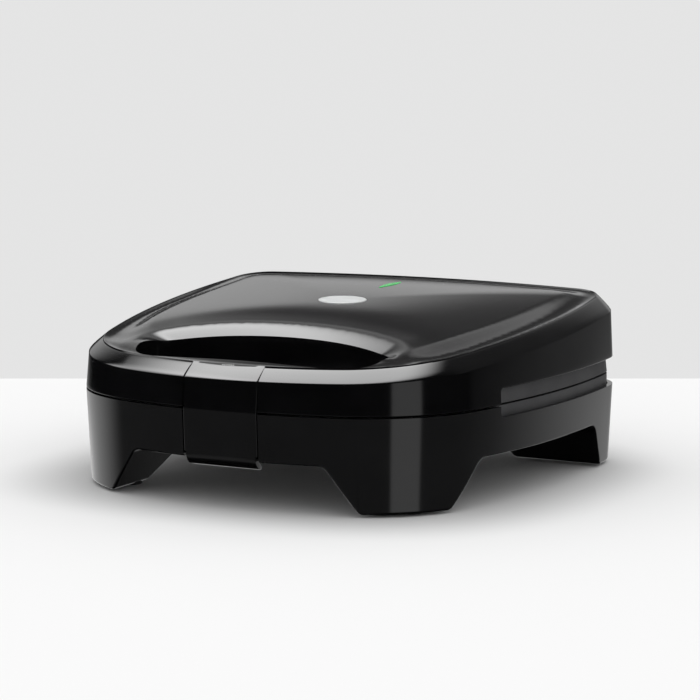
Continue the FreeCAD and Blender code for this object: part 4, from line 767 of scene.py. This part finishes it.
class Nodes:
    """A node tree and the one way in which nodes are added to it."""

    def __init__(self, tree):
        self.tree = tree

    def put(self, socket, value):
        if isinstance(value, Socket):
            self.tree.links.new(value.link, socket)
        else:
            socket.default_value = value

    def node(self, kind, settings=None, values=(), output=0, **named):
        """Adds a node: its settings first, then its first sockets in order, then sockets by name."""
        made = self.tree.nodes.new("ShaderNode" + kind)
        for key, value in (settings or {}).items():
            if key == "stops":
                self.set_stops(made.color_ramp.elements, value)
            else:
                setattr(made, key, value)
        by_name = {key.replace("_", " "): value for key, value in named.items()}
        for key, value in (*enumerate(values), *by_name.items()):
            self.put(made.inputs[key], value)
        return Socket(self, made.outputs[output]) if made.outputs else None

    @staticmethod
    def set_stops(elements, stops):
        while len(elements) < len(stops):
            elements.new(0.5)
        for element, (position, colour) in zip(elements, stops):
            element.position = position
            element.color = colour

    def parts(self, vector):
        """The x, y and z of a vector."""
        first = self.node("SeparateXYZ", Vector=vector)
        return [Socket(self, output) for output in first.link.node.outputs]

    def fade(self, value, low, high):
        """0 below low, 1 above high, smooth between."""
        ends = {"From_Min": low, "From_Max": high, "To_Min": 0.0, "To_Max": 1.0}
        return self.node("MapRange", {"interpolation_type": "SMOOTHSTEP"}, Value=value, **ends)


class Finish(Nodes):
    """A material being mixed: one Principled shader and the nodes that vary it."""

    def __init__(self, name, **constants):
        self.material = bpy.data.materials.new(name)
        self.material.use_nodes = True
        super().__init__(self.material.node_tree)
        self.shader = self.tree.nodes["Principled BSDF"]
        for key, value in constants.items():
            self.set(key.replace("_", " "), value)

    def set(self, key, value):
        self.put(self.shader.inputs[key], value)

    def place(self):
        return self.node("TexCoord", output="Object")

    def stretched(self, x, y, z):
        return self.node("Mapping", Vector=self.place(), Scale=(x, y, z))

    def noise(self, scale, detail=3.0, rough=0.55, place=None):
        place = place or self.place()
        return self.node("TexNoise", Vector=place, Scale=scale, Detail=detail, Roughness=rough)

    def ramp(self, value, stops):
        return self.node("ValToRGB", {"stops": stops}, (value,))

    def bump(self, height, strength, distance):
        return self.node("Bump", Height=height, Strength=strength, Distance=distance)


# ------------------------------------------------------------ finishes
def grey(value):
    return (value, value, value, 1.0)


def black_gloss():
    """Polished black moulding: soft wide sheen, faint moulding ripple, hairline rubs."""
    f = Finish("black_gloss", Specular_IOR_Level=0.5)
    ripple = f.noise(38.0, 2.0)
    grain = f.noise(2600.0, 2.0)
    rubs = f.noise(90.0, 6.0, 0.75, f.stretched(1.0, 9.0, 3.0))
    marks = f.ramp(rubs, [(0.56, grey(0.0)), (0.74, grey(1.0))])
    stops = [(0.3, (0.0018, 0.0018, 0.002, 1)), (0.7, (0.003, 0.003, 0.0033, 1))]
    f.set("Base Color", f.ramp(ripple, stops))
    f.set("Roughness", (0.085 + ripple * 0.03 + marks * 0.03).clamp())
    f.set("Normal", f.bump(grain * 0.35 + ripple * 0.65, 0.05, 0.0002))
    return f.material


def dark_plastic():
    """Textured dark grey heat-resistant moulding."""
    f = Finish("dark_plastic")
    grain = f.noise(1500.0, 3.0)
    cloud = f.noise(60.0, 3.0)
    f.set("Base Color", f.ramp(cloud, [(0.3, (0.040, 0.040, 0.042, 1)), (0.7, (0.056, 0.056, 0.058, 1))]))
    f.set("Roughness", (0.42 + grain * 0.16).clamp())
    f.set("Normal", f.bump(grain, 0.25, 0.0002))
    return f.material


def white_plastic():
    """Off-white insulating moulding, faintly clouded."""
    f = Finish("white_plastic")
    cloud = f.noise(120.0, 4.0)
    f.set("Base Color", f.ramp(cloud, [(0.3, (0.60, 0.58, 0.52, 1)), (0.7, (0.72, 0.70, 0.64, 1))]))
    f.set("Roughness", (0.45 + cloud * 0.12).clamp())
    f.set("Normal", f.bump(f.noise(1400.0), 0.12, 0.0002))
    return f.material


def satin_metal():
    """Satin silver plate: brushed across, bright."""
    f = Finish("satin_metal", Metallic=0.12, Specular_IOR_Level=0.3)
    brushed = f.noise(900.0, 4.0, 0.7, f.stretched(0.06, 1.0, 1.0))
    f.set("Base Color", f.ramp(brushed, [(0.3, (0.46, 0.47, 0.47, 1)), (0.7, (0.56, 0.57, 0.57, 1))]))
    f.set("Roughness", (0.44 + brushed * 0.16).clamp())
    f.set("Normal", f.bump(brushed, 0.08, 0.0001))
    return f.material


def green_lens():
    """Green window, lit from below."""
    f = Finish("green_lens", Emission_Strength=0.22)
    cells = f.noise(500.0, 2.0)
    f.set("Base Color", f.ramp(cells, [(0.3, (0.02, 0.34, 0.06, 1)), (0.7, (0.03, 0.46, 0.09, 1))]))
    f.set("Emission Color", f.ramp(cells, [(0.3, (0.01, 0.30, 0.05, 1)), (0.7, (0.03, 0.46, 0.09, 1))]))
    f.set("Roughness", (0.22 + cells * 0.12).clamp())
    f.set("Normal", f.bump(cells, 0.06, 0.0002))
    return f.material


def rubber():
    """Matt rubber with dust in its grain."""
    f = Finish("rubber", Specular_IOR_Level=0.3)
    grain = f.noise(1800.0, 4.0)
    dust = f.noise(45.0, 4.0)
    f.set("Base Color", f.ramp(dust, [(0.3, grey(0.012)), (0.75, grey(0.026))]))
    f.set("Roughness", (0.7 + grain * 0.2).clamp())
    f.set("Normal", f.bump(grain, 0.4, 0.0002))
    return f.material


def steel():
    """Zinc-plated steel with fine scratches."""
    f = Finish("steel", Metallic=1.0)
    brushed = f.noise(700.0, 5.0, 0.7, f.stretched(1.0, 0.2, 1.0))
    cloud = f.noise(150.0, 2.0)
    f.set("Base Color", f.ramp(cloud, [(0.3, (0.48, 0.48, 0.49, 1)), (0.7, (0.62, 0.62, 0.61, 1))]))
    f.set("Roughness", (0.24 + brushed * 0.2).clamp())
    f.set("Normal", f.bump(brushed, 0.15, 0.0001))
    return f.material


def wire_sleeve():
    """Woven glass-fibre sleeve."""
    f = Finish("wire_sleeve", Specular_IOR_Level=0.3)
    diagonal = {"bands_direction": "DIAGONAL"}
    weave = f.node("TexWave", diagonal, Vector=f.place(), Scale=700.0, Distortion=1.5)
    f.set("Base Color", f.ramp(weave, [(0.2, (0.50, 0.47, 0.40, 1)), (0.8, (0.70, 0.67, 0.60, 1))]))
    f.set("Roughness", (0.65 + weave * 0.15).clamp())
    f.set("Normal", f.bump(weave, 0.4, 0.0002))
    return f.material


def grill_coating():
    """Dark non-stick coating over a cast plate: pebbled, speckled and a little rubbed."""
    f = Finish("grill_coating")
    cast = f.noise(420.0, 4.0)
    specks = f.node("TexVoronoi", Vector=f.place(), Scale=900.0)
    bright = f.ramp(specks, [(0.10, grey(1.0)), (0.17, grey(0.0))])
    rubbed = f.noise(55.0, 5.0)
    stops = [(0.2, (0.016, 0.015, 0.015, 1)), (0.55, (0.05, 0.048, 0.046, 1))]
    f.set("Base Color", f.ramp(bright * 0.25 + rubbed * 0.5, stops))
    f.set("Metallic", (bright * 0.5).clamp())
    f.set("Roughness", (0.34 + cast * 0.2 + rubbed * 0.08).clamp())
    f.set("Normal", f.bump(cast, 0.3, 0.0003))
    return f.material


def element_steel():
    """Steel tube stained straw and blue by heat."""
    f = Finish("element_steel", Metallic=1.0)
    stain = f.noise(70.0, 4.0)
    stops = [(0.25, (0.20, 0.17, 0.13, 1)), (0.5, (0.30, 0.26, 0.20, 1)), (0.7, (0.18, 0.19, 0.24, 1))]
    f.set("Base Color", f.ramp(stain, stops))
    f.set("Roughness", (0.38 + stain * 0.2).clamp())
    f.set("Normal", f.bump(f.noise(900.0), 0.15, 0.0002))
    return f.material


def aluminium_sheet():
    """Bare rolled sheet with lengthways mill lines."""
    f = Finish("aluminium_sheet", Metallic=1.0)
    rolled = f.noise(600.0, 5.0, 0.7, f.stretched(0.04, 1.0, 1.0))
    smear = f.noise(30.0, 4.0)
    f.set("Base Color", f.ramp(smear, [(0.3, (0.62, 0.62, 0.62, 1)), (0.7, (0.76, 0.76, 0.75, 1))]))
    f.set("Roughness", (0.26 + rolled * 0.2 + smear * 0.06).clamp())
    f.set("Normal", f.bump(rolled, 0.15, 0.0001))
    return f.material


def thermostat_case():
    """Brown ceramic-filled moulding."""
    f = Finish("thermostat_case")
    cloud = f.noise(260.0, 3.0)
    f.set("Base Color", f.ramp(cloud, [(0.3, (0.55, 0.42, 0.30, 1)), (0.7, (0.66, 0.52, 0.38, 1))]))
    f.set("Roughness", (0.5 + cloud * 0.15).clamp())
    f.set("Normal", f.bump(f.noise(1200.0), 0.2, 0.0002))
    return f.material


def lamp_glass():
    """Small glowing lamp bulb."""
    f = Finish("lamp_glass", Emission_Strength=0.4)
    glow = f.noise(300.0, 2.0)
    f.set("Base Color", f.ramp(glow, [(0.3, (0.35, 0.60, 0.38, 1)), (0.7, (0.45, 0.75, 0.48, 1))]))
    f.set("Emission Color", f.ramp(glow, [(0.3, (0.05, 0.30, 0.08, 1)), (0.7, (0.08, 0.42, 0.12, 1))]))
    f.set("Roughness", (0.08 + glow * 0.1).clamp())
    f.set("Normal", f.bump(glow, 0.05, 0.0001))
    return f.material


MIXES = (black_gloss, dark_plastic, white_plastic, satin_metal, green_lens, rubber, steel, wire_sleeve,
         grill_coating, element_steel, aluminium_sheet, thermostat_case, lamp_glass)
FINISHES = {mix.__name__: mix() for mix in MIXES}


def finish_cad_nodes():
    """Each carried-over node gets the finish of its own material slot."""
    for node in NODES.values():
        for slot in node.material_slots:
            name = slot.material.name.split(".")[0] if slot.material else ""
            slot.material = FINISHES.get(name, FINISHES["dark_plastic"])


# ------------------------------------------------------------ studio
TOWARD = Vector((-math.sin(VIEW_AZIMUTH), math.cos(VIEW_AZIMUTH), 0.0))     # level, away from the camera
ACROSS = Vector((math.cos(VIEW_AZIMUTH), math.sin(VIEW_AZIMUTH), 0.0))      # level, to the camera's right
FLOOR_NEAR, FLOOR_FAR, FLOOR_WIDTH = -6.0, 0.341, 12.0                      # metres
SHADE_HALF_WIDTH, SHADE_HALF_DEPTH = 0.124, 0.121                           # metres; footprint of the painted shadow on the floor
WALL_GREY = 0.78
MATT_LIGHT = 1.07


def build_camera():
    back = -TOWARD * math.cos(VIEW_ELEVATION) + Vector((0.0, 0.0, math.sin(VIEW_ELEVATION)))
    up = back.cross(ACROSS)
    spot = (VIEW_TARGET + VIEW_RIGHT * ACROSS + VIEW_UP * up + VIEW_BACK * back) * MM
    data = bpy.data.cameras.new("camera")
    data.lens = LENS
    data.sensor_width = 36.0
    data.clip_end = 50.0
    camera = bpy.data.objects.new("camera", data)
    bpy.context.scene.collection.objects.link(camera)
    camera.matrix_world = Matrix.Translation(spot) @ Matrix((ACROSS, up, back)).transposed().to_4x4()
    bpy.context.scene.camera = camera


def bearing(azimuth, elevation):
    """Direction with its azimuth counted from the front towards the right, in degrees."""
    a, e = math.radians(azimuth), math.radians(elevation)
    return (math.sin(a) * math.cos(e), -math.cos(a) * math.cos(e), math.sin(e))


class Sky(Nodes):
    """Shades of the world, which depend on direction only."""

    def __init__(self, tree):
        super().__init__(tree)
        self.x, self.y, self.z = self.parts(self.node("TexCoord", output="Generated"))

    def near(self, facing, full, none):
        """1 within `full` degrees, 0 beyond `none` degrees, from the cosine of the angle."""
        return self.fade(facing, math.cos(math.radians(none)), math.cos(math.radians(full)))

    def around(self, azimuth, elevation, full, none):
        """Nearness to a direction."""
        x, y, z = bearing(azimuth, elevation)
        return self.near(self.x * x + self.y * y + self.z * z, full, none)

    def side(self, azimuth, full, none):
        """Nearness to a compass bearing, at any height."""
        x, y, _ = bearing(azimuth, 0.0)
        level = (self.x * self.x + self.y * self.y + 1e-6).math("SQRT")
        return self.near((self.x * x + self.y * y).math("DIVIDE", level), full, none)

    def above(self, low, high):
        """Fades in with the sine of the elevation."""
        return self.fade(self.z, low, high)

    def below(self, low, high):
        return 1.0 - self.above(low, high)


def studio_glow(sky):
    """What polished surfaces mirror: boxes overhead, rear wall with dark patches, strip, pale floor."""
    overhead = sky.around(-100, 78, 18, 37) * 8.6 + sky.around(-65, 35, 16, 32) * 4.2
    rear = sky.fade(sky.y, 0.2, 0.6) * (1.0 - sky.side(143, 20, 36) * 0.85)
    wall = sky.above(0.04, 0.12) * rear * (1.0 - sky.around(-155, 26, 5, 14)) * 0.6
    haze = rear * sky.above(0.1, 0.3) * 0.11
    strip = sky.side(59, 11.8, 13.6) * sky.above(-0.45, -0.36) * sky.below(0.06, 0.2) * 0.84
    low = sky.below(-0.2, -0.09) * sky.above(-0.6, -0.36)
    floor = low * (sky.side(-112, 12, 50) * 0.85 + sky.side(172, 8, 46) * 0.46 + 0.12)
    near = sky.below(-0.6, -0.4) * sky.above(-0.85, -0.7) * sky.side(-15, 35, 60) * 0.22
    right = sky.side(165, 15, 50) * sky.below(0.02, 0.2) * sky.above(-0.2, -0.09) * 0.15
    return overhead + wall + strip + floor + near + right + haze


def build_surround():
    """World: plain grey wall to the camera, even light on matt things, the studio to mirrors."""
    world = bpy.data.worlds.new("surround")
    bpy.context.scene.world = world
    world.use_nodes = True
    world.cycles.sampling_method = "NONE"
    world.node_tree.nodes.clear()
    sky = Sky(world.node_tree)

    def shade(strength):
        return sky.node("Background", Color=grey(1.0), Strength=strength)

    def by_ray(kind, others, these):
        return sky.node("MixShader", values=(sky.node("LightPath", output=kind), others, these))

    lit = by_ray("Is Diffuse Ray", shade(studio_glow(sky)), shade(MATT_LIGHT))
    sky.node("OutputWorld", values=(by_ray("Is Camera Ray", lit, shade(WALL_GREY)),))


def floor_with_painted_shadow():
    """White floor with a painted contact shadow: darker where the press stands, fading out round its
    footprint.
    """
    f = Finish("floor_with_painted_shadow", Roughness=0.9, Specular_IOR_Level=0.0)
    x, y = (part.math("ABSOLUTE") for part in f.parts(f.place())[:2])
    x, y = x * (1 / SHADE_HALF_WIDTH), y * (1 / SHADE_HALF_DEPTH)
    away = (x.math("POWER", 3.0) + y.math("POWER", 3.0)).math("POWER", 1 / 3)
    # painted shadow mask: 0 under the press, rising to 1 clear of its footprint
    unshadowed = f.fade(away, 0.88, 1.4)
    # floor colour runs from painted shadow grey 0.56 under the press to white 0.885 clear of it, with a
    # faint random tone
    f.set("Base Color", f.ramp(unshadowed * 0.97 + f.noise(2.0) * 0.03, [(0.0, grey(0.56)), (1.0, grey(0.885))]))
    return f.material


def build_floor():
    """Floor whose far edge makes the line between floor and wall."""
    wipe_selection()
    middle = TOWARD * (FLOOR_NEAR + FLOOR_FAR) / 2
    bpy.ops.mesh.primitive_plane_add(size=1.0, location=middle, rotation=(0.0, 0.0, VIEW_AZIMUTH))
    floor = settle("floor", (FLOOR_WIDTH, FLOOR_FAR - FLOOR_NEAR, 1.0))
    floor.data.materials.append(floor_with_painted_shadow())
    floor.visible_glossy = False


def build_lamp():
    """Soft overhead lamp that gives the press its shadow; mirrors don't show it."""
    data = bpy.data.lights.new("overhead", "AREA")
    data.size = 0.9
    data.energy = 0.6
    lamp = bpy.data.objects.new("overhead", data)
    bpy.context.scene.collection.objects.link(lamp)
    lamp.location = (-0.35, 0.05, 1.3)
    lamp.rotation_euler = (Vector((0.0, 0.0, 0.06)) - lamp.location).to_track_quat("-Z", "Y").to_euler()
    lamp.visible_glossy = False


# ------------------------------------------------------------ assembly
def fit(piece, body, slot, node):
    """Puts a finished piece in place of its plain CAD node."""
    piece.data.materials.clear()
    piece.data.materials.append(FINISHES[slot])
    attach(piece, body)
    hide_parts(node)


build_camera()
wipe_selection()
finish_cad_nodes()
fit(build_lid(), "lid", "black_gloss", "lid_shell")
fit(build_latch_recess(), "lid", "black_gloss", "lid_shell")
fit(build_base(), "base", "black_gloss", "base_shell")
fit(build_latch(), "latch", "black_gloss", "latch")
fit(build_badge(), "lid", "satin_metal", "badge_plate")
fit(build_window(), "lid", "green_lens", "indicator_lens")
build_floor()
build_surround()
build_lamp()
bpy.context.scene.view_settings.view_transform = "Standard"
